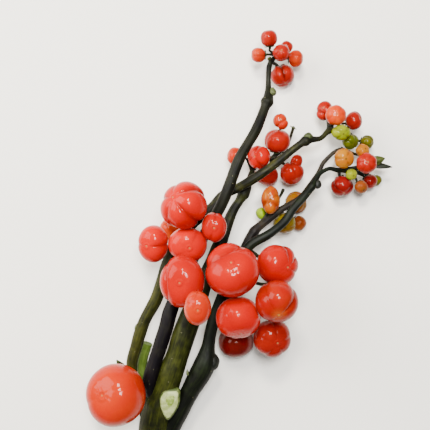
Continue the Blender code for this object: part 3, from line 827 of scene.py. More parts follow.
def scatter_tree() -> Any:
    """Builds the tree that strews lenticels, the pale breathing pores, over bark.

    Returns:
        The node group.
    """
    graph, given = geometry_graph("lenticel_scatter", {"Bark": "Geometry", "Density": "Float", "Size": "Float",
                                                       "Seed": "Int", "Cork": "Material"})
    spots = graph.add("GeometryNodeDistributePointsOnFaces",
                      {"Mesh": given["Bark"], "Density": given["Density"], "Seed": given["Seed"]})
    bead = graph.add("GeometryNodeMeshIcoSphere", {"Radius": 1.0, "Subdivisions": 2})
    flat = graph.add("GeometryNodeTransform", {"Geometry": bead, "Scale": (1.0, 1.9, 0.5)})
    vary = graph.add("FunctionNodeRandomValue", {2: 0.5, 3: 1.2, "Seed": given["Seed"]}, 1, data_type="FLOAT")
    strewn = graph.add("GeometryNodeInstanceOnPoints", {
        "Points": spots, "Instance": flat, "Rotation": spots.node.outputs["Rotation"],
        "Scale": graph.math("MULTIPLY", vary, given["Size"]),
    })
    return graph.dressed(strewn, given["Cork"])


def grow(source: Any, tree: Any, settings: dict[str, Any], name: str) -> Any:
    """Runs a Geometry Nodes tree on an object and keeps the result as a plain mesh.

    Args:
        source: The object that the tree starts from. It is removed.
        tree: The node group.
        settings: Value of each named input.
        name: The new piece's name.

    Returns:
        The piece.
    """
    step = source.modifiers.new(tree.name, "NODES")
    step.node_group = tree
    for item in tree.interface.items_tree:
        if item.item_type == "SOCKET" and item.in_out == "INPUT" and item.name in settings:
            step[item.identifier] = settings[item.name]
    bpy.context.view_layer.update()
    graph = bpy.context.evaluated_depsgraph_get()
    mesh = bpy.data.meshes.new_from_object(
        source.evaluated_get(graph), preserve_all_data_layers=True, depsgraph=graph
    )
    source.modifiers.remove(step)
    bpy.data.objects.remove(source)
    mesh.name = name
    return in_scene(name, mesh)


def line_object(name: str, lines: list[np.ndarray]) -> Any:
    """Makes an object of bare edges, with its thickness at each corner.

    Args:
        name: The object's name.
        lines: Place and radius at each step, in metres.

    Returns:
        The object.
    """
    points = np.vstack(lines)
    edges, start = [], 0
    for line in lines:
        edges += [(start + i, start + i + 1) for i in range(len(line) - 1)]
        start += len(line)
    mesh = bpy.data.meshes.new(name)
    mesh.from_pydata(points[:, :3].tolist(), edges, [])
    note(mesh, "thickness", points[:, 3])
    return in_scene(name, mesh)


@dataclass
class Shoot:
    """One shoot of the branch, with its knuckles, twigs and fruit stalks. Places are drawn ones."""

    node: str
    bark: Bark
    line: list[Knot]
    knuckles: list[tuple[float, float, float]] = field(default_factory=list)  # share, swell, length
    twigs: list[list[Knot]] = field(default_factory=list)
    stalks: dict[str, tuple[Point, tuple[Point, ...], float]] = field(default_factory=dict)
    rib_depth_mm: float = 0.5
    flared: bool = True
    blunt: bool = False  # ends in a cut

    def main_line(self, shift: Vector) -> np.ndarray:
        """Place and radius along the shoot, in metres.

        Args:
            shift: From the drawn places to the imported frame.

        Returns:
            One row for each step.
        """
        rows = smooth_line(self.line, step=0.9)
        travelled = np.concatenate([[0], np.cumsum(np.linalg.norm(np.diff(rows[:, :3], axis=0), axis=1))])
        share = travelled / travelled[-1]
        for where, swell, length in self.knuckles:
            rows[:, 3] *= 1 + swell * np.exp(-(((share - where) * travelled[-1] / length) ** 2))
        # Grown wood is nowhere evenly thick.
        rows[:, 3] *= 1 + 0.025 * np.sin(travelled / 9.0) + 0.018 * np.sin(travelled / 4.1 + 1.0)
        if self.flared:  # where it leaves its parent
            rows[:, 3] *= 1 + 0.35 * np.exp(-travelled / 7.0)
        rows[:, :3] += np.array(shift) / MM
        return (rows if self.blunt else rounded_end(rows)) * MM

    def build(self, shift: Vector, berries: dict[str, Berry], kit: Kit) -> None:
        """Makes the shoot, its twigs, its stalks and their calyces.

        Args:
            shift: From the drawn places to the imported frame.
            berries: The fruits by the name of their solids.
            kit: The finishes and node trees.
        """
        piece = kit.swept(f"{self.node}_bark", [self.main_line(shift)], self.bark,
                          sides=56, rib=1.5, depth=self.rib_depth_mm)
        keep(piece, self.bark.slot, self.node)
        move = shift / MM
        thin = [rounded_end(smooth_line(t, step=0.6) + [*move, 0]) * MM for t in self.twigs]
        calyx_points, calyx_faces, start = [], [], 0
        for name, (foot, bends, reach) in self.stalks.items():
            berry = berries[name]
            end, axis = berry.stalk_end()
            end /= MM
            thin_mm, wide_mm = (1.35, 2.3) if berry.large else (0.95, 1.5)
            knots = [(*(Vector(foot) + move), 1.7), *((*(Vector(b) + move), thin_mm) for b in bends),
                     (*(end - axis * (1.6 + reach)), thin_mm), (*(end - axis * 2.2), thin_mm * 1.1),
                     (*(end - axis * 0.2), wide_mm)]
            thin.append(smooth_line(knots, step=0.5) * MM)
            points, faces = berry.calyx()
            calyx_points.append(points)
            calyx_faces += [tuple(i + start for i in f) for f in faces]
            start += len(points)
        if thin:
            stalks = kit.swept(f"{self.node}_stalks", thin, TWIG_BARK, sides=18, rib=0.7, depth=0.16)
            keep(stalks, TWIG_BARK.slot)
        if calyx_points:
            kit.small_part(f"{self.node}_calyces", CALYX, np.concatenate(calyx_points), calyx_faces)


def rounded_end(rows: np.ndarray) -> np.ndarray:
    """Closes a line's far end with a dome.

    Args:
        rows: Place and radius at each step, in millimetres.

    Returns:
        The line with its last steps drawn in.
    """
    left = np.linalg.norm(rows[:, :3] - rows[-1, :3], axis=1)
    radius = rows[-1, 3]
    inside = left < radius
    out = rows.copy()
    out[inside, 3] *= np.sqrt(np.clip(1 - (1 - left[inside] / radius) ** 2, 0.02, 1))
    return out


class Kit:
    """Finishes and node trees, each made once."""

    def __init__(self) -> None:
        """Builds the node trees."""
        self.finishes: dict[str, Any] = {}
        self.sweep = sweep_tree()
        self.scatter = scatter_tree()

    def finish(self, look: BerrySkin | Bark | Tissue) -> Any:
        """Gives a finish's material, made at its first use."""
        if look.name not in self.finishes:
            self.finishes[look.name] = look.material()
        return self.finishes[look.name]

    def swept(self, name: str, lines: list[np.ndarray], bark: Bark, sides: int, rib: float, depth: float) -> Any:
        """Sweeps bark along lines, and lifts whatever would reach below the table.

        Args:
            name: The piece's name.
            lines: Place and radius at each step, in metres.
            bark: Its finish.
            sides: Corners round it.
            rib: Width of a rib, in millimetres.
            depth: Depth of a rib, in millimetres.

        Returns:
            The piece.
        """
        settings = {"Sides": sides, "Rib Width": rib * MM, "Rib Depth": depth * MM, "Bark": self.finish(bark)}
        piece = grow(line_object(f"{name}_line", lines), self.sweep, settings, name)
        corners = piece.data.vertices
        points = np.empty(len(corners) * 3)
        corners.foreach_get("co", points)
        points[2::3] = np.maximum(points[2::3], BARK_GAP)
        corners.foreach_set("co", points)
        piece.data.update()
        return piece

    def small_part(self, name: str, look: Tissue, points: np.ndarray, faces: Faces, *nodes: str) -> Any:
        """Makes and keeps a small part that stays clear of the table.

        Args:
            name: The piece's name.
            look: Its finish.
            points: Its corners in metres.
            faces: Corner numbers of each face.
            nodes: The solids that it stands for.

        Returns:
            The piece.
        """
        points[:, 2] = np.maximum(points[:, 2], TABLE_GAP)
        piece = mesh_object(name, points, faces, self.finish(look))
        keep(piece, look.slot, *nodes)
        return piece


# ---- Scars, buds and leaves ------------------------------------------------------------------
@dataclass
class SmallParts:
    """What sits on the shoots: the pruning scar, leaf scars, buds, lenticels and two young leaves."""

    shift: Vector
    kit: Kit
    lenticel_mm: float = 0.32  # half its width

    def at(self, x: float, y: float, z: float) -> np.ndarray:
        """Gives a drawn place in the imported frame, in metres."""
        return np.array(self.shift) + np.array((x, y, z)) * MM

    def mound(self, name: str, look: Tissue, at: Point, faces: Point, size: Point, drop: float = 0.0,
              seed: int = 1) -> None:
        """Makes a rounded boss, drawn out to a point on one side, such as a bud or a leaf scar.

        Args:
            name: The piece's name.
            look: Its finish.
            at: Its drawn middle.
            faces: Which way its top points.
            size: Half sizes across, along and up, in millimetres.
            drop: How far it is drawn out to a point, 0 to 1.
            seed: Picks its unevenness.
        """
        segments, rows = 40, 19
        p, a = closed_angles(segments, rows)
        phases = np.random.default_rng(seed).uniform(0, math.tau, 3)
        uneven = 1 + 0.06 * np.sin(3 * a + phases[0]) * np.sin(p) + 0.04 * np.sin(5 * a + phases[1]) * np.sin(2 * p)
        x, y, z = np.sin(p) * np.cos(a) * uneven, np.sin(p) * np.sin(a) * uneven, np.cos(p)
        x = x * (1 - drop * np.clip(y, 0, 1) ** 1.2 * 0.85)
        y = y * (1 + drop * 0.35 * np.clip(y, 0, 1))
        local = np.stack([x * size[0], y * size[1], z * size[2]], -1) * MM
        axis = Vector(faces).normalized()
        along = square_to(axis, (0, 1, 0), (1, 0, 0))
        turned = np.array(Matrix((along.cross(axis), along, axis)).transposed())
        self.kit.small_part(name, look, local @ turned.T + self.at(*at), closed_faces(segments, rows))

    def pruning_scar(self) -> None:
        """Makes the pale drop-shaped cut on the trunk, where a shoot was taken off, in a green rim."""
        axis = Vector((0.12, -0.16, 0.98)).normalized()
        point = square_to(axis, (-0.12, -1.0, -0.16))
        turned = np.array(Matrix((point.cross(axis), point, axis)).transposed())
        segments, rows = 64, 14
        azimuth = np.arange(segments) * math.tau / segments
        corner = 1 + 0.2 * np.exp(-(((azimuth - 4.12) / 0.3) ** 2))  # where the bark tore up to a corner
        outline_x = np.cos(azimuth) * (1 - 0.34 * np.sin(azimuth)) * corner * (1 + 0.03 * np.sin(3 * azimuth))
        outline_y = np.sin(azimuth) * (1 + 0.16 * np.clip(np.sin(azimuth), 0, 1) ** 2) * corner
        for name, look, (wide, long, thick), at in (
            ("pruning_scar_rim", SCAR_RIM, (7.8, 11.8, 3.2), (-35.0, -143.8, 31.6)),
            ("pruning_scar_face", SCAR_FLESH, (6.8, 10.4, 2.4), (-35.2, -144.0, 33.0)),
            ("pruning_scar_heart", SCAR_HEART, (3.4, 4.6, 1.6), (-34.4, -141.6, 34.5)),
        ):
            layers = []
            for angle in np.linspace(0, np.pi, rows + 2)[1:-1]:
                out = math.sin(angle) ** 0.35
                up = math.copysign(abs(math.cos(angle)) ** 0.8, math.cos(angle))
                layers.append(np.stack([outline_x * out * wide, outline_y * out * long,
                                        np.full(segments, up * thick)], -1))
            local = np.concatenate([*layers, [[0, 0, thick]], [[0, 0, -thick]]]) * MM
            self.kit.small_part(name, look, local @ turned.T + self.at(*at), closed_faces(segments, rows))

    def blade(self, name: str, look: Tissue, base: Point, tip: Point, *nodes: str, width: float,
              cup: float, curl: float) -> None:
        """Makes a small leaf: a pointed blade, folded along its midrib.

        Args:
            name: The piece's name.
            look: Its finish.
            base: Its drawn foot.
            tip: Its drawn tip.
            nodes: The solid that it stands for, if it has one.
            width: Width in millimetres.
            cup: How far its edges rise, in millimetres.
            curl: How far its middle rises, in millimetres.
        """
        start, along = self.at(*base), self.at(*tip) - self.at(*base)
        across = np.cross(along, (0, 0, 1.0))
        across /= np.linalg.norm(across)
        up = np.cross(across, along)
        up /= np.linalg.norm(up)
        length, breadth, thick = 36, 16, 0.35 * MM
        share = np.linspace(0, 1, length)
        outline = np.sin(np.pi * share**0.75) ** 0.8 * 0.5 * width * MM + 0.15 * MM
        s, b = np.meshgrid(share, np.linspace(-1, 1, breadth), indexing="ij")
        rise = np.abs(b) ** 1.4 * cup * MM * np.sin(np.pi * s) + curl * MM * np.sin(np.pi * s)
        wave = 0.3 * MM * np.sin(9 * s + 2 * b) * np.abs(b)
        sheets = []
        for lift in (thick, -thick):
            sheet = (start + s[..., None] * along + (b * outline[:, None])[..., None] * across
                     + (rise + wave + lift * (1 - 0.7 * np.abs(b)))[..., None] * up)
            sheets.append(sheet.reshape(-1, 3))
        size, edge = length * breadth, breadth - 1
        faces: Faces = []
        for a in range(0, size - breadth, breadth):
            b = a + breadth
            for j in range(edge):
                faces += [(a + j, a + j + 1, b + j + 1, b + j),
                          (size + a + j, size + b + j, size + b + j + 1, size + a + j + 1)]
            faces += [(a, b, size + b, size + a), (size + a + edge, size + b + edge, b + edge, a + edge)]
        faces += [(j, j + 1, size + j + 1, size + j) for j in range(edge)]
        faces += [(size + j, size + j + 1, j + 1, j) for j in range(size - breadth, size - 1)]
        outwards(self.kit.small_part(name, look, np.concatenate(sheets), faces, *nodes))

    def shed_calyx(self, name: str, at: Point, faces: Point) -> None:
        """Makes the star-shaped calyx left on a twig whose fruit dropped.

        Args:
            name: The piece's name.
            at: The twig's drawn end.
            faces: Which way it opens.
        """
        ghost = Berry(name, SMALL_RED, 8.4, 6.4, faces, seed=2)
        ghost.origin = Vector(self.at(*at)) + Vector(faces).normalized() * 2.2 * MM
        self.kit.small_part(name, CORK, *ghost.calyx())

    def lenticels(self, host: Any, count: int, seed: int) -> None:
        """Strews pale pores over a shoot.

        Args:
            host: The bark.
            count: About how many.
            seed: Picks their places.
        """
        mesh = host.data.copy()
        settings = {"Density": count / sum(p.area for p in mesh.polygons), "Size": self.lenticel_mm * MM,
                    "Seed": seed, "Cork": self.kit.finish(LENTICEL)}
        source = in_scene(f"{host.name}_source", mesh)
        keep(grow(source, self.kit.scatter, settings, f"{host.name}_lenticels"), LENTICEL.slot)

    def trunk_end(self, line: np.ndarray) -> None:
        """Makes the face of the cut that took the branch off its plant: pith in a ring of bark."""
        foot, ahead = line[0], line[3]
        outward = Vector(foot[:3] - ahead[:3]).normalized()
        place = Vector(foot[:3]) / MM - self.shift / MM - outward * 0.6
        radius = foot[3] / MM * 0.93
        self.mound("cut_face_wood", PITH, tuple(place), tuple(outward), (radius, radius, 1.1))


def outwards(piece: Any) -> None:
    """Turns every face of a closed mesh outwards."""
    shape = bmesh.new()
    shape.from_mesh(piece.data)
    bmesh.ops.recalc_face_normals(shape, faces=shape.faces[:])
    shape.to_mesh(piece.data)
    shape.free()


# ---- The branch ------------------------------------------------------------------------------
BERRIES = [
    Berry("lower_fruit", LARGE_ORANGE, 46, 40, (-0.43, 0.17, 0.88), {200: 0.03, 20: 0.015}, 0.95),
    Berry("left_fruit_1", LARGE_RED, 36.5, 30, (-0.55, 0.42, 0.72),
          {20: 0.13, 95: 0.1, 160: 0.11, 235: 0.09, 300: 0.12}),
    Berry("left_fruit_2", LARGE_RED, 26, 21, (-0.45, -0.15, 0.88), {0: 0.10, 180: 0.08}, 0.84),
    Berry("left_fruit_3", PEACH, 22, 21, (-0.7, 0.6, 0.05), ribs(4, 0.1), rests=True),
    Berry("left_fruit_4", LARGE_RED, 28, 21.5, (0.15, -0.2, 0.95), {60: 0.04, 220: 0.03}, 1.12),
    Berry("left_fruit_5", RIPE_RED, 21, 18, (0, -0.05, 1), {80: 0.08, 250: 0.06}, 0.82),
    Berry("centre_fruit_1", RIPE_RED, 35.5, 30, (-0.1, 0, 1), {}, 0.86,
          (Lobe(184, 86, 50, 0.0, 0.065),)),
    Berry("centre_fruit_2", BRIGHT_ORANGE, 21.6, 20, (0.03, -0.06, 1), {}, 0.8,
          (Lobe(125, 78, 34, 0.06, 0.04),)),
    Berry("centre_fruit_3", RIPE_RED, 40, 33, (-0.07, 0.42, 0.9), {300: 0.02}, 1.0,
          (Lobe(120, 74, 52, 0.03, 0.08),)),
    Berry("right_fruit_1", RIPE_RED, 31.4, 28, (0.5, -0.1, 0.85), {30: 0.12, 75: 0.1, 330: 0.08}),
    Berry("right_fruit_2", TIPPED_RED, 32, 28, (0.05, -0.66, 0.75), {35: 0.13, 125: 0.05, 235: 0.06}),
    Berry("right_fruit_3", LARGE_RED, 33.5, 29, (0.1, -0.8, 0.6), {270: 0.04, 230: 0.05}),
    Berry("right_fruit_4", DEEP_RED, 30, 24, (0.3, -0.2, 0.93),
          {10: 0.05, 95: 0.06, 160: 0.03, 235: 0.05, 300: 0.06}),
    Berry("right_fruit_5", MAROON, 28, 24, (0.1, -0.85, -0.15), {300: 0.1}, rests=True),
    Berry("tip_fruit_1", SMALL_RED, 13.4, 13, (-0.1, 0.9, 0.3), ribs(5, 0.04)),
    Berry("tip_fruit_2", CORAL, 12, 11, (-0.9, -0.1, 0.3), ribs(4, 0.07)),
    Berry("tip_fruit_3", SMALL_RED, 13.4, 12, (0, 0.2, 0.95), ribs(5, 0.05)),
    Berry("tip_fruit_4", SMALL_RED, 10.2, 10, (0.5, 0.8, 0.1), ribs(4, 0.06)),
    Berry("tip_fruit_5", CORAL, 13, 11.6, (0.85, -0.1, 0.4), ribs(5, 0.06), 0.9),
    Berry("tip_fruit_6", SMALL_RED, 20, 17, (0.25, -0.75, 0.5),
          {95: 0.2, 150: 0.05, 215: 0.1, 320: 0.12}, rests=True),
    Berry("upper_fruit_1", CORAL, 12.2, 12, (0, 0.1, 1), {100: 0.08}, lobes=(Lobe(305, 80, 54, 0.36, 0.06),)),
    Berry("upper_fruit_2", SMALL_RED, 20.5, 18, (0, 0.9, 0.4), {60: 0.1, 200: 0.08}),
    Berry("upper_fruit_3", LARGE_RED, 19.4, 16, (-0.5, 0, 0.86), {75: 0.12, 200: 0.1, 300: 0.12}, 0.94),
    Berry("upper_fruit_4", CORAL, 14, 12.4, (-0.9, 0.2, 0.3), ribs(4, 0.06)),
    Berry("upper_fruit_5", SMALL_RED, 17.6, 16, (-0.2, -0.8, 0.3), ribs(3, 0.06), rests=True),
    Berry("upper_fruit_6", SMALL_RED, 19.6, 16, (0.4, -0.6, 0.65), {100: 0.06},
          lobes=(Lobe(58, 110, 30, 0.62, 0.1),)),
    Berry("orange_fruit_1", AMBER, 18, 14, (-0.1, 0.1, 0.98), {20: 0.08, 110: 0.06, 200: 0.09}, 0.68,
          (Lobe(268, 60, 46, 0.04, 0.09),)),
    Berry("orange_fruit_2", FRESH_LIME, 9.6, 9, (-0.8, -0.3, 0.3)),
    Berry("orange_fruit_3", OCHRE, 18.2, 16, (0.7, 0.3, 0.5), ribs(5, 0.07), rests=True),
    Berry("orange_fruit_4", OLIVE_GOLD, 17.4, 15, (0, -0.5, 0.8), ribs(5, 0.07), 1.08),
    Berry("orange_fruit_5", RUSSET, 12.4, 12, (0.7, -0.6, 0.1), ribs(4, 0.05), rests=True),
    Berry("far_fruit_1", SMALL_RED, 14.6, 13, (-0.3, 0.2, 0.9), {20: 0.06}, 0.9, (Lobe(238, 84, 50, 0.24, 0.1),)),
    Berry("far_fruit_2", PEACH, 16.6, 13.4, (0, 0, 1), ribs(7, 0.05)),
    Berry("far_fruit_3", DEEP_RED, 14, 12.4, (0.7, 0.2, 0.6), ribs(3, 0.06), 0.84),
    Berry("far_fruit_4", LIME, 13.6, 11, (0.2, -0.3, 0.93), ribs(4, 0.1, 45), 1.25),
    Berry("far_fruit_5", LEEK, 13.4, 10.6, (0.5, -0.5, 0.7), ribs(5, 0.1), 1.1),
    Berry("far_fruit_6", OLIVE, 11.2, 10.4, (0.8, -0.2, 0.5), ribs(4, 0.12, 20)),
    Berry("end_fruit_1", GOLD, 11, 10, (0.3, 0.3, 0.9), ribs(5, 0.06)),
    Berry("end_fruit_2", GOLD, 16, 13, (0.1, -0.1, 0.98), {60: 0.11, 180: 0.11, 300: 0.11}),
    Berry("end_fruit_3", SMALL_RED, 16.6, 13, (0, 0.1, 1), ribs(6, 0.06)),
    Berry("end_fruit_4", CRIMSON, 17.2, 15, (0.1, -0.7, 0.6), ribs(3, 0.13, 30), 1.12),
    Berry("end_fruit_5", LIME, 9, 8.4, (0.3, -0.3, 0.9), ribs(4, 0.04)),
    Berry("end_fruit_6", RUSSET, 10.4, 9.6, (0.3, -0.6, 0.7)),
    Berry("end_fruit_7", CRIMSON, 11.4, 10.4, (0.5, -0.5, 0.5), ribs(4, 0.06)),
    Berry("end_fruit_8", OLIVE, 8.6, 8, (0.8, -0.6, 0), rests=True),
]
ANCHOR, ANCHOR_DRAWN_AT = "centre_fruit_2", (-12.2, -65.0, 88.0)

SHOOTS = [
    Shoot(
        "main_stem", TRUNK_BARK,
        [(-48, -195, 11.2, 11.5), (-47, -172, 13.5, 13), (-44, -150, 19.5, 12.6), (-36, -127, 27, 9.6),
         (-29, -108, 30, 9), (-22.5, -88, 32, 8.8), (-14.5, -68, 33, 7.8), (-7, -48, 33, 6.4),
         (2, -27, 30, 5.4), (13, 1, 24, 3.8), (19, 11, 22.5, 3.5), (24, 20, 21, 3.9),
         (27, 29, 15, 2.2), (31, 37, 8.5, 1.9), (38, 43, 7, 1.8), (46.5, 45, 12, 2.2)],
        [(0.19, 0.07, 4), (0.83, 0.25, 3.0)],
        [[(46, 45, 12, 1.3), (57, 55, 7, 1.2), (61, 66, 12, 1.2), (62, 70, 14, 1.6)]],
        {
            "centre_fruit_2": ((-15, -68, 34), ((-13, -67, 52),), 4),
            "upper_fruit_1": ((46.5, 46, 11), ((51.5, 56, 3.6), (52, 68, 6)), 3),
            "upper_fruit_2": ((46.5, 45, 12), (), 2),
            "upper_fruit_3": ((45, 45, 11), (), 2),
            "upper_fruit_4": ((29.5, 35, 11), (), 3),
            "upper_fruit_5": ((46, 44.5, 11), (), 2),
            "upper_fruit_6": ((47.5, 45, 11), (), 3),
        },
        0.7, flared=False,
    ),
    Shoot(
        "left_shoot", LEFT_BARK,
        [(-50, -168, 13, 4.6), (-60, -142, 15, 4.3), (-65, -119, 19, 4.3), (-61, -101, 21, 4.6),
         (-55, -83, 23, 4.8), (-46, -66, 25, 4.9), (-40, -49, 26, 4.8), (-36, -36, 27.5, 4.8),
         (-28, -19, 28, 4.8), (-17, -6, 28.5, 4.4), (-3, 5, 29.5, 4), (6, 15, 30, 3.7),
         (18, 21, 30.5, 3.6), (30, 28, 32, 3.6), (45, 38.2, 32.4, 3.3), (58, 48.8, 32, 3),
         (70, 57, 30.5, 2.8), (81, 59, 29, 2), (88, 65, 26, 1.9), (97, 67, 16, 1.6), (106, 66, 9, 1.5)],
        [(0.86, 0.45, 3.0), (0.925, 0.3, 2.2)],
        [[(86, 63, 27, 1), (87.5, 68.5, 28, 1.2)]],
        {
            "lower_fruit": ((-62, -137, 17), (), 3),
            "left_fruit_1": ((-19, -8, 29), (), 5),
            "left_fruit_2": ((-34, -30, 28), (), 3),
            "left_fruit_3": ((-29, -21, 26), (), 3),
            "left_fruit_4": ((-25, -15, 29), (), 2),
            "far_fruit_1": ((88.5, 65.5, 25), (), 3),
            "far_fruit_2": ((90, 66, 23.5), (), 4),
            "far_fruit_3": ((101, 67, 13), (), 4),
            "far_fruit_4": ((91, 66, 22.5), (), 3),
            "far_fruit_5": ((104, 66.3, 10.5), (), 2),
            "far_fruit_6": ((105.5, 66, 9.4), (), 4),
        },
    ),
    Shoot(
        "middle_shoot", MIDDLE_BARK,
        [(-44, -147, 21, 5), (-49.5, -134, 26.5, 5.4), (-48.8, -122, 30.5, 5.6), (-38, -88, 34, 5.5),
         (-34, -73, 34.5, 5.4), (-26, -54, 34, 5), (-17, -33, 33.5, 4.6), (-7, -13, 35.5, 4.4),
         (4, 6, 39.2, 4.4), (10, 20, 40.4, 4.2), (17, 39, 40, 4.3), (22, 49, 38, 4.1), (31.2, 64.8, 33, 3.9),
         (38, 81.6, 28, 3.7), (41.2, 91, 26, 3.9), (41.4, 100, 23.5, 2.3), (41.6, 109, 22, 2), (43, 118, 19, 2.1),
         (49, 127, 13, 1.5)],
        [(0.853, 0.3, 2.5)],
        [[(42.7, 116, 20, 1.7), (42.2, 121.5, 21.5, 0.8)]],
        {
            "left_fruit_5": ((-4, -7, 40), (), 2),
            "centre_fruit_1": ((-24, -50, 37), (), 4),
            "tip_fruit_1": ((49, 127, 13), (), 3),
            "tip_fruit_2": ((48.5, 126.5, 13), (), 3),
            "tip_fruit_3": ((48.5, 126.5, 13.5), (), 1.5),
            "tip_fruit_4": ((49, 127, 12.5), (), 2),
            "tip_fruit_5": ((49, 127, 12.5), (), 3),
            "tip_fruit_6": ((44.5, 120, 17), (), 3),
        },
    ),
    Shoot(
        "right_shoot", RIGHT_BARK,
        [(-40, -176, 15, 7.4), (-27, -151, 22, 7.4), (-18, -134, 26, 7.5), (-8.5, -116, 29, 8.4),
         (-5.5, -102, 30, 5.4), (-3, -88, 31, 4.8), (2, -72, 32.5, 4.6), (10, -53, 34, 4.5),
         (18, -36, 35, 4.3), (27, -23, 36, 3.7), (42, -14, 35.5, 3.3), (53, -5, 34.5, 3.2),
         (60, 5, 33.5, 3.1), (69, 15, 31.5, 3), (76, 24, 28, 2.6), (80, 31, 25.5, 2), (84, 34, 24, 1.7),
         (89, 36, 22.5, 1.6), (96, 35, 20, 1.9), (104, 35.5, 13.5, 1.5), (112, 34, 9, 1.4)],
        [(0.83, 0.2, 2.5)],
        [[(106, 36, 12.5, 1.1), (115, 36.5, 13.5, 1.1), (121, 40, 18, 1.3)]],
        {
            "centre_fruit_3": ((13, -46, 36), (), 4),
            "right_fruit_1": ((25, -26, 35), (), 3),
            "right_fruit_2": ((16, -41, 35), ((30, -51, 40),), 3),
            "right_fruit_3": ((6, -62, 34), (), 2),
            "right_fruit_4": ((5, -64, 32), ((20, -76, 27),), 3),
            "right_fruit_5": ((-1, -82, 31), (), 3),
            "end_fruit_3": ((100, 35.2, 17), (), 3),
            "end_fruit_4": ((97, 35, 19), (), 3),
            "end_fruit_5": ((98.5, 35, 18.5), (), 2),
            "end_fruit_6": ((108, 35, 11), (), 3),
            "end_fruit_7": ((110, 34.5, 10), (), 3),
            "end_fruit_8": ((111.5, 34, 9), (), 3),
        },
    ),
    Shoot(
        "right_side_shoot", SIDE_BARK,
        [(20, -33, 33, 3.2), (26, -19, 26.5, 3.3), (33, -10, 24.5, 3.3), (41, -4, 23.5, 2.9),
         (51, 4, 23, 2.6), (58, 8, 22.8, 2.4), (67, 14, 21.5, 2.2), (74, 23, 18.5, 1.9), (81, 33, 18, 1.8),
         (85, 41, 18, 1.7), (93, 49, 18, 1.5), (99, 52, 17, 1.5)],
        [(0.2, 0.2, 3)],
        [[(34, -9, 24, 1.9), (41, 0.5, 22.5, 1.7), (46, 8, 20, 1.9)],
         [(46, 8, 20, 1.2), (51, 15, 19, 1.1), (53.5, 20.5, 22, 1.5)]],
        {
            "orange_fruit_1": ((45, 6.5, 20.5), (), 1.5),
            "orange_fruit_2": ((41.5, 1.2, 22), (), 1.5),
            "orange_fruit_3": ((46, 8, 20), ((50, 6, 12),), 3),
            "orange_fruit_4": ((46, 7.6, 19.6), (), 3),
            "orange_fruit_5": ((46.2, 7.5, 19.5), ((52, 2.5, 9),), 4),
            "end_fruit_1": ((98.6, 51.8, 17), (), 3),
            "end_fruit_2": ((97, 51, 17.3), (), 1.5),
        },
    ),
    Shoot(
        "pruned_side_shoot", YOUNG_BARK,
        [(-44, -152, 16, 3.8), (-52.5, -136, 11, 3.9), (-57.5, -122, 10.5, 4), (-56.5, -112, 11.5, 4),
         (-53, -101, 13.5, 3.8)],
        blunt=True,
    ),
]

@dataclass
class Branch:
    """The whole branch."""

    kit: Kit
    shift: Vector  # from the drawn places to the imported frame

    def build(self) -> None:
        """Makes every piece of it."""
        for berry in BERRIES:
            keep(berry.build(self.kit.finish(berry.skin)), berry.skin.slot, berry.node)
        for shoot in SHOOTS:
            shoot.build(self.shift, {berry.node: berry for berry in BERRIES}, self.kit)
        small = SmallParts(self.shift, self.kit)
        small.pruning_scar()
        small.trunk_end(SHOOTS[0].main_line(self.shift))
        small.blade("green_bract_leaf", BRACT, (121, 41, 19), (132.5, 44.2, 21), "green_bract",
                    width=7.4, cup=-1.6, curl=1.4)
        small.blade("young_leaf_blade", LEAF_BLADE, (121, 39.3, 18), (139, 37.5, 17), "young_leaf",
                    width=4.4, cup=0.8, curl=0.6)
        small.blade("lower_fruit_sepal", CALYX, (-69.5, -118.5, 28.5), (-75.6, -111.2, 31),
                    width=4.6, cup=0.8, curl=0.4)
        small.shed_calyx("shed_fruit_calyx", (62, 70, 14), (0.45, 0.85, 0.25))
        for number, (at, faces, size, drop, look) in enumerate((
            ((71.5, 60.4, 31.3), (0.1, 0.5, 0.85), (3.7, 2.9, 2.7), 0.2, NODE_CORK),
            ((44.6, 95.0, 26.2), (0.8, 0.3, 0.6), (3.0, 3.3, 2.8), 0.3, CORK),
            ((79.2, 23.4, 28.0), (0.8, -0.2, 0.6), (3.4, 3.4, 2.8), 0.3, BUD_SCALE),
            ((-2.0, -112.6, 29.4), (0.75, 0.1, 0.6), (5.6, 6.6, 5.6), 0.3, BUD_SCALE),
            ((-61.4, -87.0, 24.0), (-0.8, 0.3, 0.5), (1.0, 2.2, 1.0), 0.8, CORK),
            ((-20.9, -120.0, 36.6), (0.4, 0.2, 0.9), (1.1, 2.2, 1.1), 0.8, CORK),
            ((87.4, 68.8, 28.2), (0.1, 0.8, 0.5), (1.2, 1.6, 1.2), 0.6, BUD_SCALE),
            ((42.2, 121.8, 21.8), (-0.2, 0.9, 0.3), (1.2, 2.4, 1.2), 0.9, BRACT),
        )):
            small.mound(f"bud_or_leaf_scar_{number + 1}", look, at, faces, size, drop, number)
        for name, count, seed in (("main_stem", 60, 3), ("left_shoot", 50, 5), ("right_shoot", 40, 8),
                                  ("middle_shoot", 40, 9)):
            small.lenticels(bpy.data.objects[f"{name}_bark"], count, seed)


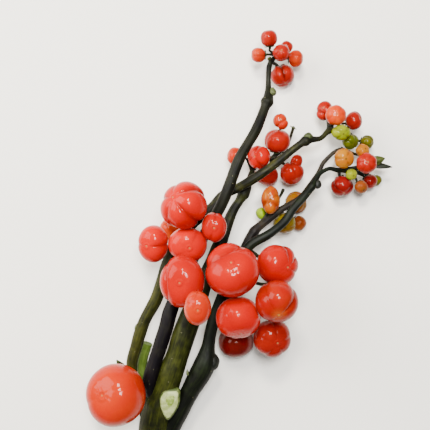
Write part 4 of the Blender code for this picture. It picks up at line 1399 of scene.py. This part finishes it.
# ---- Table, light and camera -----------------------------------------------------------------
@dataclass
class Studio:
    """A pale table top, soft daylight from the upper left and a camera that looks straight down."""

    shift: Vector
    eye_height: float = 665.0  # above the table, in millimetres
    view_width: float = 322.5  # seen at the height below
    view_height_at: float = 45.0
    sensor: float = 36.0
    half_table: float = 4.0  # in metres

    def table(self) -> None:
        """Makes the table top: smooth pale board."""
        mesh = bpy.data.meshes.new("table_top")
        h = self.half_table
        mesh.from_pydata([(-h, -h, 0), (h, -h, 0), (h, h, 0), (-h, h, 0)], [], [(0, 1, 2, 3)])
        made, graph, shader = blank_material("pale_matt_board")
        noise = graph.noise(graph.add("ShaderNodeTexCoord", output="Object"), 1000 / 3, 3.0)
        graph.feed(shader, {"Base Color": graph.mix(noise, "#f5f1e6", "#f1ede2"), "Roughness": 0.8})
        mesh.materials.append(made)
        in_scene("table_top", mesh)

    def light(self, name: str, at: Point, size: float, watts: float, tint: str) -> None:
        """Hangs a soft light that points at the branch.

        Args:
            name: Its name.
            at: Its place in metres.
            size: Its side in metres.
            watts: Its power.
            tint: Its colour.
        """
        lamp = bpy.data.lights.new(name, "AREA")
        lamp.size, lamp.energy, lamp.color = size, watts, linear(tint)[:3]
        made = in_scene(name, lamp)
        made.location = at
        made.rotation_euler = (Vector((0, 0, 0.03)) - Vector(at)).to_track_quat("-Z", "Y").to_euler()

    def build(self) -> None:
        """Makes the table, the lights and the camera."""
        self.table()
        scene = bpy.context.scene
        scene.world = bpy.data.worlds.new("daylight")
        scene.world.use_nodes = True
        sky = scene.world.node_tree.nodes["Background"]
        sky.inputs["Color"].default_value = (0.97, 0.985, 1.0, 1.0)
        sky.inputs["Strength"].default_value = 0.4
        self.light("window", (-1.0, 0.5, 0.7), 1.0, 41.0, "#fffdf8")
        self.light("lamp", (-0.12, 0.62, 1.05), 0.22, 19.0, "#fff8ee")
        self.light("ceiling", (0.05, 0.3, 1.3), 0.3, 28.0, "#fbfcff")
        lens = bpy.data.cameras.new("camera")
        lens.sensor_width = self.sensor
        lens.lens = self.sensor * (self.eye_height - self.view_height_at) / self.view_width
        scene.camera = in_scene("camera", lens)
        scene.camera.location = (self.shift.x, self.shift.y, self.eye_height * MM)


def main() -> None:
    """Builds the camera, the light and the branch."""
    logging.basicConfig(level=logging.INFO, format="%(name)s: %(message)s")
    for seed, berry in enumerate(BERRIES, FIRST_SEED):
        berry.seed = seed
        berry.fit()
    anchor = next(berry for berry in BERRIES if berry.node == ANCHOR)
    shift = anchor.origin - Vector(ANCHOR_DRAWN_AT) * MM
    shift.z = 0.0
    log.info("drawn places move by %s", tuple(round(c / MM, 2) for c in shift))
    Studio(shift).build()
    Branch(Kit(), shift).build()
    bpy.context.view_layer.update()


if __name__ == "__main__":
    main()
